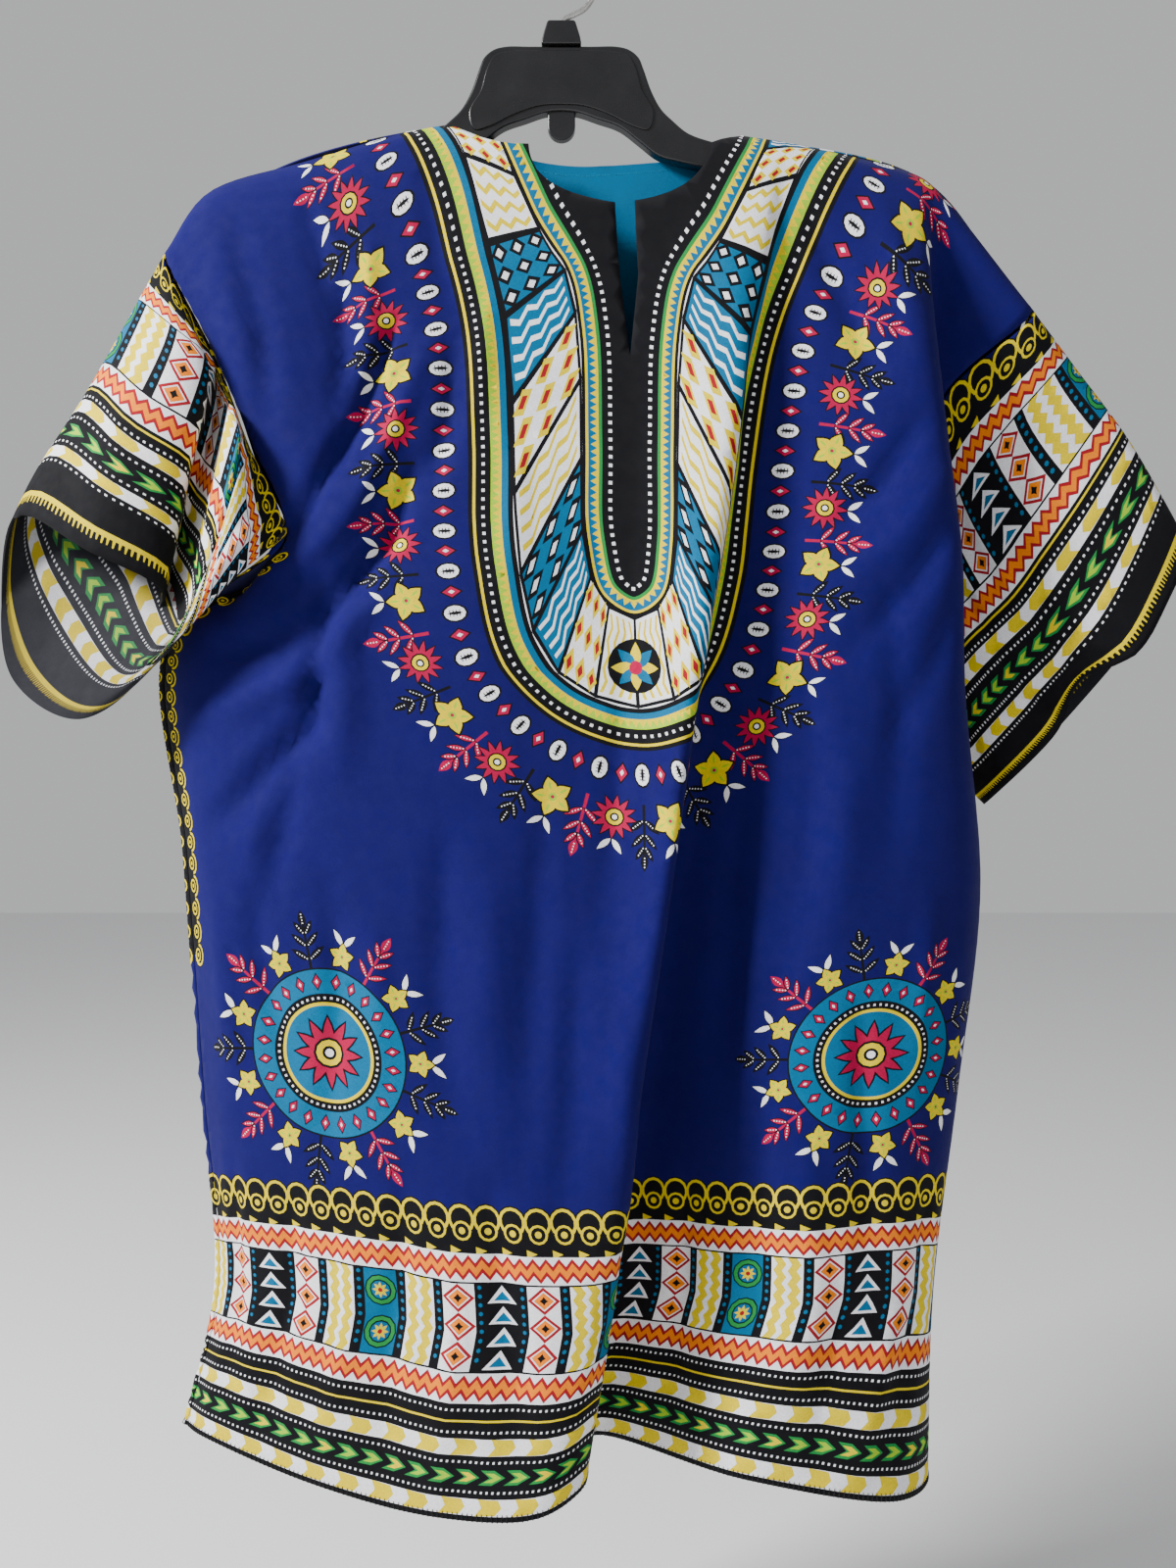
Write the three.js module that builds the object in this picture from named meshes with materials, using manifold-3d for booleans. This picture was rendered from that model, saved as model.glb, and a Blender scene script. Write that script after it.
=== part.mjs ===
// A dashiki shirt hanging on a moulded clothes hanger. Millimetres, +Z up, the front faces -Y,
// and the origin is the point inside the hook's crown where a rail carries the hanger.
import * as THREE from "three";
import { mergeVertices } from "three/addons/utils/BufferGeometryUtils.js";
import Module from "manifold-3d";

const wasm = await Module();
wasm.setup();

// ---- driving dimensions ----
const CLOTH = 1.6; // wall of cotton with its seam allowances
const SEAM_GAP = 0.3; // least clearance between two pieces that are sewn together
const GARMENT_LENGTH = 840; // shoulder to hem, along the cloth
const ARMHOLE = 245; // shoulder to underarm, along the seam
const SHOULDER_ROLL = 9; // how far the cloth rounds over the hanger's arm
const SIDE_GAP = 1; // between the panels along the middle of the cloth at a side seam
const SIDE_TURN = 6; // how far the back carries on in line with the front before it turns
const EDGE_SHARE = 0.3; // of the way to the first inner column, along an armhole
const FACING_CLOTH = 1;
const FACING_GAP = 0.5; // facing to back panel
const ROWS = 22; // steps down a panel
const STEPS = 3; // steps between two named columns
const SLEEVE_SIDES = 32; // steps round a sleeve
const SLEEVE_ROWS = 10; // steps down a sleeve
const ARMHOLE_LIFT = 1.9; // from the panels' edges to the sleeve's first ring
const ROLL_SHARE = 1.6; // cloth used by the rounding at the shoulder, in shoulder rolls
const SPACE_GAPS = 2.6; // seam gaps added to a wall for the space that it keeps free
const HANGER_DEPTH = 11; // thickness of the moulded body, front to back
const HOOK_WIRE = 3.6; // diameter of the hook's wire
const HOOK_RADIUS = 21; // centreline radius of the hook's bow

const MATERIALS = {
  print: new THREE.MeshStandardMaterial({ color: 0x24208a, roughness: 0.85 }),
  sleeve: new THREE.MeshStandardMaterial({ color: 0x1c1c22, roughness: 0.85 }),
  facing: new THREE.MeshStandardMaterial({ color: 0x0f95bf, roughness: 0.85 }),
  plastic: new THREE.MeshStandardMaterial({ color: 0x101012, roughness: 0.3 }),
  steel: new THREE.MeshStandardMaterial({ color: 0xb8b8bc, roughness: 0.3, metalness: 1 }),
};

// The front, one row for each level: v is the distance below the shoulder along the cloth. Each
// column is a point [x, y, z]. crest and root are the two edges of the deep fold that runs from
// the neck to the hem, and turn and back are the two sides of the edge over the hanger's end.
const FRONT = [
  { v: 0, seam: [-244, 0, -183], corner: [-221, 0, -150], side: [-160, 0, -130], chest: [-71, 0, -107],
    middle: [43, 0, -106], crest: [128, 0, -116], root: [140, 0, -118], breast: [169, 0, -124],
    turn: [218, 0, -137], back: [231, 0, -145], end: [290, 0, -218] },
  { v: 80, seam: [-214, -20, -249], corner: [-198, -28, -240], side: [-147, -22, -215], chest: [-61, -20, -196],
    middle: [42, -20, -193], crest: [121, -30, -208], root: [129, -20, -208], breast: [165, -22, -213],
    turn: [222, -30, -228], back: [229, -4, -232], end: [240, 4, -272] },
  { v: 160, seam: [-188, -24, -309], corner: [-169, -30, -296], side: [-126, -26, -280], chest: [-55, -26, -271],
    middle: [42, -24, -273], crest: [108, -40, -284], root: [116, -22, -284], breast: [164, -30, -289],
    turn: [228, -38, -305], back: [234, -2, -308], end: [222, 9, -330] },
  { v: 245, seam: [-167, -26, -369], corner: [-142, -34, -362], side: [-101, -30, -355], chest: [-42, -34, -354],
    middle: [42, -30, -356], crest: [95, -48, -364], root: [104, -22, -364], breast: [163, -36, -368],
    turn: [234, -44, -380], back: [241, -4, -382], end: [206, 12, -390] },
  { v: 340, seam: [-244, 4, -428], corner: [-224, -12, -430], side: [-141, -36, -440], chest: [-53, -42, -447],
    middle: [42, -38, -450], crest: [80, -58, -453], root: [89, -22, -453], breast: [162, -42, -453],
    turn: [236, -40, -455], back: [246, -4, -456], end: [236, 12, -457] },
  { v: 480, seam: [-234, 4, -560], corner: [-213, -20, -560], side: [-141, -40, -566], chest: [-52, -50, -577],
    middle: [37, -52, -581], crest: [62, -66, -583], root: [69, -16, -583], breast: [155, -48, -578],
    turn: [242, -36, -574], back: [258, -10, -576], end: [257, 8, -578] },
  { v: 620, seam: [-223, 4, -713], corner: [-203, -18, -708], side: [-140, -42, -706], chest: [-57, -62, -710],
    middle: [14, -70, -712], crest: [42, -72, -713], root: [49, -8, -714], breast: [143, -52, -705],
    turn: [230, -34, -702], back: [244, -10, -706], end: [243, 8, -710] },
  { v: 740, seam: [-214, 4, -828], corner: [-197, -16, -825], side: [-136, -44, -826], chest: [-58, -68, -831],
    middle: [5, -76, -830], crest: [28, -70, -828], root: [34, 0, -830], breast: [131, -54, -820],
    turn: [212, -36, -822], back: [229, -10, -828], end: [229, 8, -831] },
  { v: 840, seam: [-234, 4, -918], corner: [-219, -15, -916], side: [-145, -46, -930], chest: [-68, -70, -937],
    middle: [-11, -82, -931], crest: [13, -68, -922], root: [20, 6, -925], breast: [108, -52, -924],
    turn: [197, -46, -940], back: [225, -12, -945], end: [226, 8, -943] },
];

// The back hangs nearly flat with soft pleats: y at five columns between its two side edges.
const BACK = [
  { v: 0, y: [0, 0, 0, 0, 0], rise: [0, 0, 0, 0, 0] },
  { v: 80, y: [14, 15, 14, 15, 15], rise: [0, 0, 0, 0, 0] },
  { v: 160, y: [24, 20, 26, 18, 24], rise: [0, 2, 4, 2, 0] },
  { v: 245, y: [28, 20, 34, 20, 34], rise: [0, 4, 6, 4, 0] },
  { v: 340, y: [34, 18, 40, 22, 38], rise: [0, 2, 4, 2, 0] },
  { v: 480, y: [38, 18, 46, 24, 42], rise: [0, 0, 0, 0, 0] },
  { v: 620, y: [44, 20, 52, 28, 46], rise: [0, 0, 0, 0, 0] },
  { v: 740, y: [48, 24, 58, 32, 50], rise: [0, 0, 0, 0, 0] },
  { v: 840, y: [52, 28, 64, 36, 54], rise: [0, 0, 0, 0, 0] },
];
const BACK_SHARES = [0.12, 0.31, 0.5, 0.7, 0.88]; // where those columns lie across the back

// The armhole at the back, from the shoulder down to the underarm: [x, y, z] at the same levels.
const BACK_ARMHOLES = {
  left: [[-244, 0, -183], [-216, 18, -250], [-192, 16, -318]],
  right: [[290, 0, -218], [270, 26, -276], [244, 30, -336]],
};

// The sleeves, one row for each ring: w is the distance from the armhole along the cloth. Each
// column is a station round the tube, from the top edge down the front, under and up the back.
const SLEEVE_STATIONS = [0, 0.09, 0.15, 0.19, 0.3, 0.5, 0.68, 0.85];
const SLEEVES = {
  sleeve_wearer_right: [
    { w: 50, top: [-267, 2, -221], front: [-230, -34, -250], turn: [-208, -28, -266], valley: [-214, -4, -275],
      inner: [-190, -42, -310], under: [-190, -40, -392], rear: [-218, 20, -325], outer: [-256, 22, -246] },
    { w: 110, top: [-299, 2, -277], front: [-253, -40, -312], turn: [-224, -34, -330], valley: [-230, -6, -340],
      inner: [-206, -44, -372], under: [-226, -40, -430], rear: [-268, 14, -372], outer: [-312, 22, -306] },
    { w: 160, top: [-327, 2, -321], front: [-268, -42, -352], turn: [-232, -34, -374], valley: [-242, -6, -386],
      inner: [-226, -36, -420], under: [-268, -28, -462], rear: [-322, 16, -430], outer: [-346, 22, -367] },
    { w: 190, top: [-342, 2, -351], front: [-278, -42, -380], turn: [-238, -32, -401], valley: [-250, -6, -415],
      inner: [-250, -26, -446], under: [-294, -14, -477], rear: [-346, 12, -451], outer: [-357, 20, -402] },
  ],
  sleeve_wearer_left: [
    { w: 50, top: [320, 4, -255], front: [284, -2, -296], turn: [264, 4, -322], valley: [254, 12, -340],
      inner: [232, 22, -372], under: [220, 34, -414], rear: [250, 46, -366], outer: [294, 34, -292] },
    { w: 110, top: [354, 4, -301], front: [322, -8, -352], turn: [300, -8, -384], valley: [288, 2, -404],
      inner: [256, 4, -436], under: [234, 24, -470], rear: [270, 40, -418], outer: [330, 30, -338] },
    { w: 160, top: [378, 4, -342], front: [356, -10, -386], turn: [336, -12, -422], valley: [318, 4, -446],
      inner: [290, -6, -478], under: [258, 22, -518], rear: [300, 42, -466], outer: [362, 32, -388] },
    { w: 190, top: [393, 4, -370], front: [374, -12, -402], turn: [352, -14, -438], valley: [326, 6, -452],
      inner: [305, -8, -486], under: [268, 18, -530], rear: [310, 40, -494], outer: [380, 30, -408] },
  ],
};

// The neck: half the opening, then the slit, as [x, z] on the front.
const NECK = {
  left: [[-73, -106], [-50, -119], [-20, -124]],
  right: [[93, -122], [104, -117], [112, -114]],
  scoopLeft: [[-19, -146], [-2, -156]], // handles of the curve from left to the slit
  scoopRight: [[74, -157], [88, -146]],
  slitTop: { left: [33, -162], right: [45, -161] },
  slitBelly: { left: [36, -208], right: [47, -208] },
  slitEnd: [42, -258],
};
const NECK_ABOVE = 30; // how far a neck's cutting shape carries on above the shoulder
const CUT_FRONT = -80; // depths that clear the front, the back and the middle plane between them
const CUT_BACK = 60;
const CUT_MIDDLE = 0.6;
const BACK_NECK = { left: [-73, -106], low: [[-20, -124], [24, -128], [88, -123]], right: [112, -114] };
const FACING = { left: -66, right: 118, top: -139, bottom: -290, corner: 30 };

// The hanger: the top edge of one arm, from the centre block out to the rounded end, as [x, z].
const ARM_TOP = [[54, -84], [62, -97], [69, -106], [78, -115], [100, -121], [156, -138], [200, -150], [213, -157]];
const ARM_UNDER = [[213, -164], [200, -165], [156, -154], [100, -138], [62, -130], [48, -119], [26, -106], [10, -101]];
const BLOCK_TOP = { half: 46, inner: 34, corner: 52, z: -60, shoulder: -70 };
const BODY_BEVEL = 1.5;
const TAB = { half: 8.5, top: -99, bottom: -117, round: 8, inset: 2, bevel: 0.8 };
const SIZER = { bottomHalf: 12.5, topHalf: 8.5, bottom: -59.6, top: -45, depth: 14, wall: 1 };
const HOOK_BOW = { from: -0.28 * Math.PI, to: 1.02 * Math.PI, turns: 14, steps: 44 };

// ---- helpers ----
const vec = (p) => new THREE.Vector3(...p);
const smooth = (points) => new THREE.CatmullRomCurve3(points, false, "centripetal");

// Points on a smooth curve through the given ones, with the same steps between each pair.
function through(points, steps = STEPS) {
  return smooth(points).getPoints((points.length - 1) * steps);
}

// A grid of points: each row of points is laid out by through(), and the columns are then smoothed
// over the rows at evenly spaced levels.
function grid(rows, levels, count) {
  const width = rows[0].length;
  const result = Array.from({ length: count + 1 }, () => []);
  for (let j = 0; j < width; j++) {
    const column = smooth(rows.map((row) => row[j]));
    for (let i = 0; i <= count; i++) {
      const level = (levels.at(-1) * i) / count;
      let k = 0;
      while (k < levels.length - 2 && levels[k + 1] < level) k++;
      const share = (level - levels[k]) / (levels[k + 1] - levels[k]);
      result[i].push(column.getPoint((k + share) / (levels.length - 1)));
    }
  }
  return result;
}

// The unit normal at each point of a grid, towards the printed side.
function normals(points, around) {
  const last = points[0].length - 1;
  return points.map((row, i) =>
    row.map((_, j) => {
      const above = points[Math.max(i - 1, 0)][j];
      const below = points[Math.min(i + 1, points.length - 1)][j];
      const before = around ? row[(j + last) % (last + 1)] : row[Math.max(j - 1, 0)];
      const after = around ? row[(j + 1) % (last + 1)] : row[Math.min(j + 1, last)];
      const along = new THREE.Vector3().subVectors(after, before);
      const down = new THREE.Vector3().subVectors(below, above);
      return down.cross(along).normalize();
    }),
  );
}

// A closed wall of cloth on a grid of points. around joins the last column to the first.
function wall(points, thickness, { around = false, shift = 0, side = normals(points, around) } = {}) {
  const rows = points.length;
  const columns = points[0].length;
  const positions = [];
  for (const half of [thickness / 2, -thickness / 2]) {
    points.forEach((row, i) =>
      row.forEach((p, j) => {
        const moved = p.clone().addScaledVector(side[i][j], half + shift);
        positions.push(moved.x, moved.y, moved.z);
      }),
    );
  }
  const index = [];
  const at = (i, j, inner) => (inner ? rows * columns : 0) + i * columns + (j % columns);
  const quad = (a, b, c, d) => index.push(a, b, c, a, c, d);
  const spans = around ? columns : columns - 1;
  for (let i = 0; i < rows - 1; i++) {
    for (let j = 0; j < spans; j++) {
      quad(at(i, j), at(i + 1, j), at(i + 1, j + 1), at(i, j + 1));
      quad(at(i, j, 1), at(i, j + 1, 1), at(i + 1, j + 1, 1), at(i + 1, j, 1));
    }
  }
  for (let j = 0; j < spans; j++) {
    quad(at(0, j), at(0, j + 1), at(0, j + 1, 1), at(0, j, 1));
    quad(at(rows - 1, j), at(rows - 1, j, 1), at(rows - 1, j + 1, 1), at(rows - 1, j + 1));
  }
  for (let i = 0; !around && i < rows - 1; i++) {
    quad(at(i, 0), at(i, 0, 1), at(i + 1, 0, 1), at(i + 1, 0));
    quad(at(i, columns - 1), at(i + 1, columns - 1), at(i + 1, columns - 1, 1), at(i, columns - 1, 1));
  }
  const geometry = new THREE.BufferGeometry();
  geometry.setAttribute("position", new THREE.Float32BufferAttribute(positions, 3));
  return geometry.setIndex(index);
}

function solid(geometry) {
  const bare = geometry.clone();
  bare.deleteAttribute("normal");
  bare.deleteAttribute("uv");
  const merged = mergeVertices(bare, 1e-4);
  return new wasm.Manifold(
    new wasm.Mesh({
      numProp: 3,
      vertProperties: merged.attributes.position.array,
      triVerts: new Uint32Array(merged.index.array),
    }),
  );
}

function fromSolid(manifold) {
  const mesh = manifold.getMesh();
  const geometry = new THREE.BufferGeometry();
  geometry.setAttribute("position", new THREE.BufferAttribute(mesh.vertProperties, 3));
  return geometry.setIndex(new THREE.BufferAttribute(mesh.triVerts, 1));
}

const cut = (geometry, tool) => fromSolid(solid(geometry).subtract(solid(tool)));
const join = (...geometries) => fromSolid(geometries.map(solid).reduce((a, b) => a.add(b)));

// An outline in x and z, extruded along y between two depths.
function slab(shape, nearY, farY, bevel = 0) {
  const geometry = new THREE.ExtrudeGeometry(shape, {
    depth: farY - nearY - 2 * bevel,
    bevelEnabled: bevel > 0,
    bevelThickness: bevel,
    bevelSize: bevel,
    bevelOffset: -bevel,
    bevelSegments: 2,
    curveSegments: 8,
  });
  geometry.rotateX(Math.PI / 2);
  return geometry.translate(0, farY - bevel, 0);
}

// ---- cloth ----
const COLUMN_NAMES = ["seam", "corner", "side", "chest", "middle", "crest", "root", "breast", "turn", "back", "end"];
const LEVELS = FRONT.map((row) => row.v);

// The rounding over the hanger's arm: a row just below the shoulder, pushed forwards or back.
function rolled(points, towards) {
  return points.map((p) => new THREE.Vector3(p.x, towards * SHOULDER_ROLL, p.z - SHOULDER_ROLL));
}

function withRoll(rows, levels, towards) {
  const next = rows.slice(1);
  return {
    rows: [rows[0].map((p) => p.clone().setY(towards * SEAM_GAP)), rolled(rows[0], towards), ...next],
    levels: [0, ROLL_SHARE * SHOULDER_ROLL, ...levels.slice(1)],
  };
}

const frontRows = withRoll(
  FRONT.map((row) => through(COLUMN_NAMES.map((name) => vec(row[name])))),
  LEVELS,
  -1,
);
const front = grid(frontRows.rows, frontRows.levels, ROWS);
const frontNormals = normals(front, false);

// One edge of a panel as a curve of points with the matching outward directions.
function edge(points, last) {
  return points.map((row) => {
    const [tip, inner] = last ? [row.at(-1), row.at(-2)] : [row[0], row[1]];
    return { tip, out: new THREE.Vector3().subVectors(tip, inner).normalize() };
  });
}
const frontLeft = edge(front, false);
const frontRight = edge(front, true);

// A point between two of a list of curve samples, by level down the panel.
function atLevel(samples, level) {
  const place = (level / GARMENT_LENGTH) * ROWS;
  const k = Math.min(Math.floor(place), samples.length - 2);
  return new THREE.Vector3().lerpVectors(samples[k], samples[k + 1], place - k);
}

// The height of the front at a level and an x, which the back follows.
function frontHeight(level, x) {
  const row = front[Math.round((level / GARMENT_LENGTH) * ROWS)];
  const j = Math.max(1, row.findIndex((p) => p.x >= x));
  const share = THREE.MathUtils.clamp((x - row[j - 1].x) / (row[j].x - row[j - 1].x), 0, 1);
  return THREE.MathUtils.lerp(row[j - 1].z, row[j].z, share);
}

function backRow({ v, y, rise }, i) {
  const above = v < ARMHOLE;
  const left = above ? vec(BACK_ARMHOLES.left[i]) : atLevel(frontLeft.map((e) => e.tip), v);
  const right = above ? vec(BACK_ARMHOLES.right[i]) : atLevel(frontRight.map((e) => e.tip), v);
  const inner = BACK_SHARES.map((share, k) => {
    const x = THREE.MathUtils.lerp(left.x, right.x, share);
    return new THREE.Vector3(x, y[k], frontHeight(v, x) + rise[k]);
  });
  if (above) return through([left, left.clone().lerp(inner[0], EDGE_SHARE), ...inner,
    right.clone().lerp(inner.at(-1), EDGE_SHARE), right]);
  const ends = [frontLeft, frontRight].map((edges) => atLevel(edges.map((e) => e.out), v).normalize());
  const beside = (tip, out, distance) => tip.clone().addScaledVector(out, distance);
  return through([
    beside(left, ends[0], SIDE_GAP),
    beside(left, ends[0], SIDE_GAP + SIDE_TURN),
    ...inner,
    beside(right, ends[1], SIDE_GAP + SIDE_TURN),
    beside(right, ends[1], SIDE_GAP),
  ]);
}

const backRows = withRoll(BACK.map(backRow), LEVELS, 1);
const back = grid(backRows.rows, backRows.levels, ROWS);
const backNormals = normals(back, false).map((row) => row.map((n) => n.negate()));
const backLeft = edge(back, false);
const backRight = edge(back, true);

// The armhole as a ring of SLEEVE_SIDES points: down the front edge, under, and up the back edge.
function armhole(frontEdge, backEdge) {
  const ring = [];
  for (let k = 0; k < SLEEVE_SIDES; k++) {
    const round = k / SLEEVE_SIDES;
    const level = ARMHOLE * (round < 0.5 ? 2 * round : 2 - 2 * round);
    const samples = round <= 0.5 ? frontEdge : backEdge;
    const tip = atLevel(samples.map((e) => e.tip), level);
    const out = atLevel(samples.map((e) => e.out), level);
    ring.push(tip.addScaledVector(out.normalize(), ARMHOLE_LIFT));
  }
  return ring;
}

// A ring of the sleeve: a closed smooth curve through its named stations.
function sleeveRing(row) {
  const names = Object.keys(row).filter((name) => name !== "w");
  const curve = new THREE.CatmullRomCurve3(names.map((name) => vec(row[name])), true, "centripetal");
  const ring = [];
  for (let k = 0; k < SLEEVE_SIDES; k++) {
    const round = k / SLEEVE_SIDES;
    let s = SLEEVE_STATIONS.length - 1;
    while (SLEEVE_STATIONS[s] > round) s--;
    const next = s + 1 < SLEEVE_STATIONS.length ? SLEEVE_STATIONS[s + 1] : 1;
    const share = (round - SLEEVE_STATIONS[s]) / (next - SLEEVE_STATIONS[s]);
    ring.push(curve.getPoint((s + share) / names.length));
  }
  return ring;
}

function sleeve(name, frontEdge, backEdge, mirrored) {
  const rows = [armhole(frontEdge, backEdge), ...SLEEVES[name].map(sleeveRing)];
  const levels = [0, ...SLEEVES[name].map((row) => row.w)];
  const points = grid(rows, levels, SLEEVE_ROWS);
  const side = normals(points, true).map((row) => (mirrored ? row.map((n) => n.negate()) : row));
  return { points, side };
}

function reversed(geometry) {
  const index = geometry.index.array;
  for (let i = 0; i < index.length; i += 3) [index[i + 1], index[i + 2]] = [index[i + 2], index[i + 1]];
  return geometry;
}

// A wall whose faces point out whichever way its grid runs.
function outward(geometry) {
  return solid(geometry).volume() < 0 ? reversed(geometry) : geometry;
}

function neckHole() {
  const shape = new THREE.Shape();
  const { left, right, scoopLeft, scoopRight, slitTop, slitBelly, slitEnd } = NECK;
  shape.moveTo(left[0][0], left[0][1] + NECK_ABOVE);
  left.forEach((p) => shape.lineTo(...p));
  shape.bezierCurveTo(...scoopLeft.flat(), ...slitTop.left);
  [slitBelly.left, slitEnd, slitBelly.right, slitTop.right].forEach((p) => shape.lineTo(...p));
  shape.bezierCurveTo(...scoopRight.flat(), ...right[0]);
  right.slice(1).forEach((p) => shape.lineTo(...p));
  shape.lineTo(right.at(-1)[0], right.at(-1)[1] + NECK_ABOVE);
  shape.closePath();
  return shape;
}

function backNeckHole() {
  const shape = new THREE.Shape();
  const { left, low, right } = BACK_NECK;
  shape.moveTo(left[0], left[1] + NECK_ABOVE);
  shape.lineTo(...left);
  shape.splineThru(low.map((p) => new THREE.Vector2(...p)));
  shape.lineTo(...right);
  shape.lineTo(right[0], right[1] + NECK_ABOVE);
  shape.closePath();
  return shape;
}

// A geometry cleared of its neighbours: what the cutters take off is a sliver at a seam, so the
// largest body is what stays.
function trimmed(geometry, ...cutters) {
  const bodies = cutters.reduce((rest, tool) => rest.subtract(solid(tool)), solid(geometry)).decompose();
  return fromSolid(bodies.reduce((a, b) => (a.volume() > b.volume() ? a : b)));
}

// A point just past the end of a line from another point.
function beyond(tip, inner) {
  return tip.clone().add(tip.clone().sub(inner).setLength(4 * SEAM_GAP));
}

// The space a panel needs: its wall with the seam gap on both faces and past its side edges.
function space(points, side) {
  const wider = points.map((row) => {
    return [beyond(row[0], row[1]), ...row.slice(1, -1), beyond(row.at(-1), row.at(-2))];
  });
  wider.unshift(wider[0].map((p, j) => beyond(p, wider[1][j])));
  return outward(wall(wider, CLOTH + SPACE_GAPS * SEAM_GAP, { side: [side[0], ...side] }));
}
const frontSpace = () => space(front, frontNormals);
const backSpace = () => space(back, backNormals);

function frontPanel() {
  const cloth = outward(wall(front, CLOTH, { side: frontNormals }));
  return trimmed(cloth, slab(neckHole(), CUT_FRONT, CUT_MIDDLE));
}

function backPanel() {
  const cloth = outward(wall(back, CLOTH, { side: backNormals }));
  return trimmed(cloth, slab(backNeckHole(), -CUT_MIDDLE, CUT_BACK), frontSpace());
}

// The facing lies inside the back panel, made from the panel's own points moved in.
function backNeckFacing() {
  const inset = CLOTH / 2 + FACING_GAP + FACING_CLOTH / 2;
  const sheet = outward(wall(back.slice(0, Math.ceil(ROWS / 3)), FACING_CLOTH, { side: backNormals, shift: -inset }));
  const { left, right, top, bottom, corner } = FACING;
  const outline = new THREE.Shape();
  outline.moveTo(left, top);
  outline.lineTo(left, bottom + corner);
  outline.quadraticCurveTo(left, bottom, left + corner, bottom);
  outline.lineTo(right - corner, bottom);
  outline.quadraticCurveTo(right, bottom, right, bottom + corner);
  outline.lineTo(right, top);
  outline.closePath();
  return fromSolid(solid(sheet).intersect(solid(slab(outline, -CUT_MIDDLE, CUT_BACK))));
}

// ---- hanger ----
function hangerShape() {
  const shape = new THREE.Shape();
  const { half, inner, corner, z, shoulder } = BLOCK_TOP;
  const mirrored = (list) => list.map(([x, height]) => [-x, height]).reverse();
  shape.moveTo(-corner, shoulder);
  shape.quadraticCurveTo(-half, z, -inner, z);
  shape.lineTo(inner, z);
  shape.quadraticCurveTo(half, z, corner, shoulder);
  [ARM_TOP, ARM_UNDER, mirrored(ARM_UNDER), mirrored(ARM_TOP)].flat().forEach((p) => shape.lineTo(...p));
  shape.closePath();
  return shape;
}

function hangerTab() {
  const shape = new THREE.Shape();
  const { half, top, bottom, round } = TAB;
  shape.moveTo(-half, top);
  shape.lineTo(-half, bottom + round);
  shape.absarc(0, bottom + round, half, Math.PI, 2 * Math.PI);
  shape.lineTo(half, top);
  shape.closePath();
  return shape;
}

// A panel's space without its neck, where the hanger's centre stands clear.
const neckless = (space, hole) => cut(space, slab(hole, CUT_FRONT, CUT_BACK));

function hangerBody() {
  const half = HANGER_DEPTH / 2;
  const body = slab(hangerShape(), -half, half, BODY_BEVEL);
  const tab = slab(hangerTab(), -half + TAB.inset, half - TAB.inset, TAB.bevel);
  return trimmed(join(body, tab), neckless(frontSpace(), neckHole()), neckless(backSpace(), backNeckHole()));
}

function sizerTab() {
  const shape = new THREE.Shape();
  shape.moveTo(-SIZER.bottomHalf, SIZER.bottom);
  shape.lineTo(SIZER.bottomHalf, SIZER.bottom);
  shape.lineTo(SIZER.topHalf, SIZER.top);
  shape.lineTo(-SIZER.topHalf, SIZER.top);
  shape.closePath();
  return slab(shape, -SIZER.depth / 2, SIZER.depth / 2, SIZER.wall);
}

// The hook stands on the sizer tab: a stem, then a bow whose inside crown is the origin.
function hook() {
  const radius = HOOK_RADIUS;
  const crown = HOOK_WIRE / 2;
  const centre = crown - radius;
  const foot = SIZER.top + SEAM_GAP;
  const points = [vec([0, 0, foot]), vec([0, 0, foot + HOOK_WIRE])];
  const { from, to, turns, steps } = HOOK_BOW;
  for (let k = 0; k <= turns; k++) {
    const a = from + ((to - from) * k) / turns;
    points.push(vec([radius * Math.cos(a), 0, centre + radius * Math.sin(a)]));
  }
  const path = new THREE.CatmullRomCurve3(points, false, "centripetal");
  const section = new THREE.Shape();
  section.absarc(0, 0, HOOK_WIRE / 2, 0, 2 * Math.PI);
  return new THREE.ExtrudeGeometry(section, { steps, extrudePath: path, curveSegments: 5 });
}

// ---- the part ----
function mesh(name, geometry, material) {
  const made = new THREE.Mesh(geometry, material);
  made.name = name;
  return made;
}

function sleeveMesh(name, frontEdge, backEdge, mirrored) {
  const { points, side } = sleeve(name, frontEdge, backEdge, mirrored);
  const tube = outward(wall(points, CLOTH, { around: true, side }));
  return mesh(name, trimmed(tube, frontSpace(), backSpace()), MATERIALS.sleeve);
}

const part = new THREE.Group();
part.add(
  mesh("front_panel", frontPanel(), MATERIALS.print),
  mesh("back_panel", backPanel(), MATERIALS.print),
  sleeveMesh("sleeve_wearer_right", frontLeft, backLeft, false),
  sleeveMesh("sleeve_wearer_left", frontRight, backRight, true),
  mesh("back_neck_facing", backNeckFacing(), MATERIALS.facing),
  mesh("hanger_body", hangerBody(), MATERIALS.plastic),
  mesh("hanger_sizer_tab", sizerTab(), MATERIALS.plastic),
  mesh("hanger_hook", hook(), MATERIALS.steel),
);
export default part;
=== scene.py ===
"""Looks of a dashiki shirt on a clothes hanger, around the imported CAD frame. Blender 4.5.

The cloth is laid out flat first, with its print as painted shapes, and then carried to the place
where it hangs by the same sections as the CAD panels. Flat measures are millimetres: u runs across
a panel from its middle, v runs down from the shoulder, and w runs down a sleeve from the armhole.
"""
import math
import random

import bpy
import numpy as np
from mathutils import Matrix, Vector
from mathutils.geometry import delaunay_2d_cdt


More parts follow.
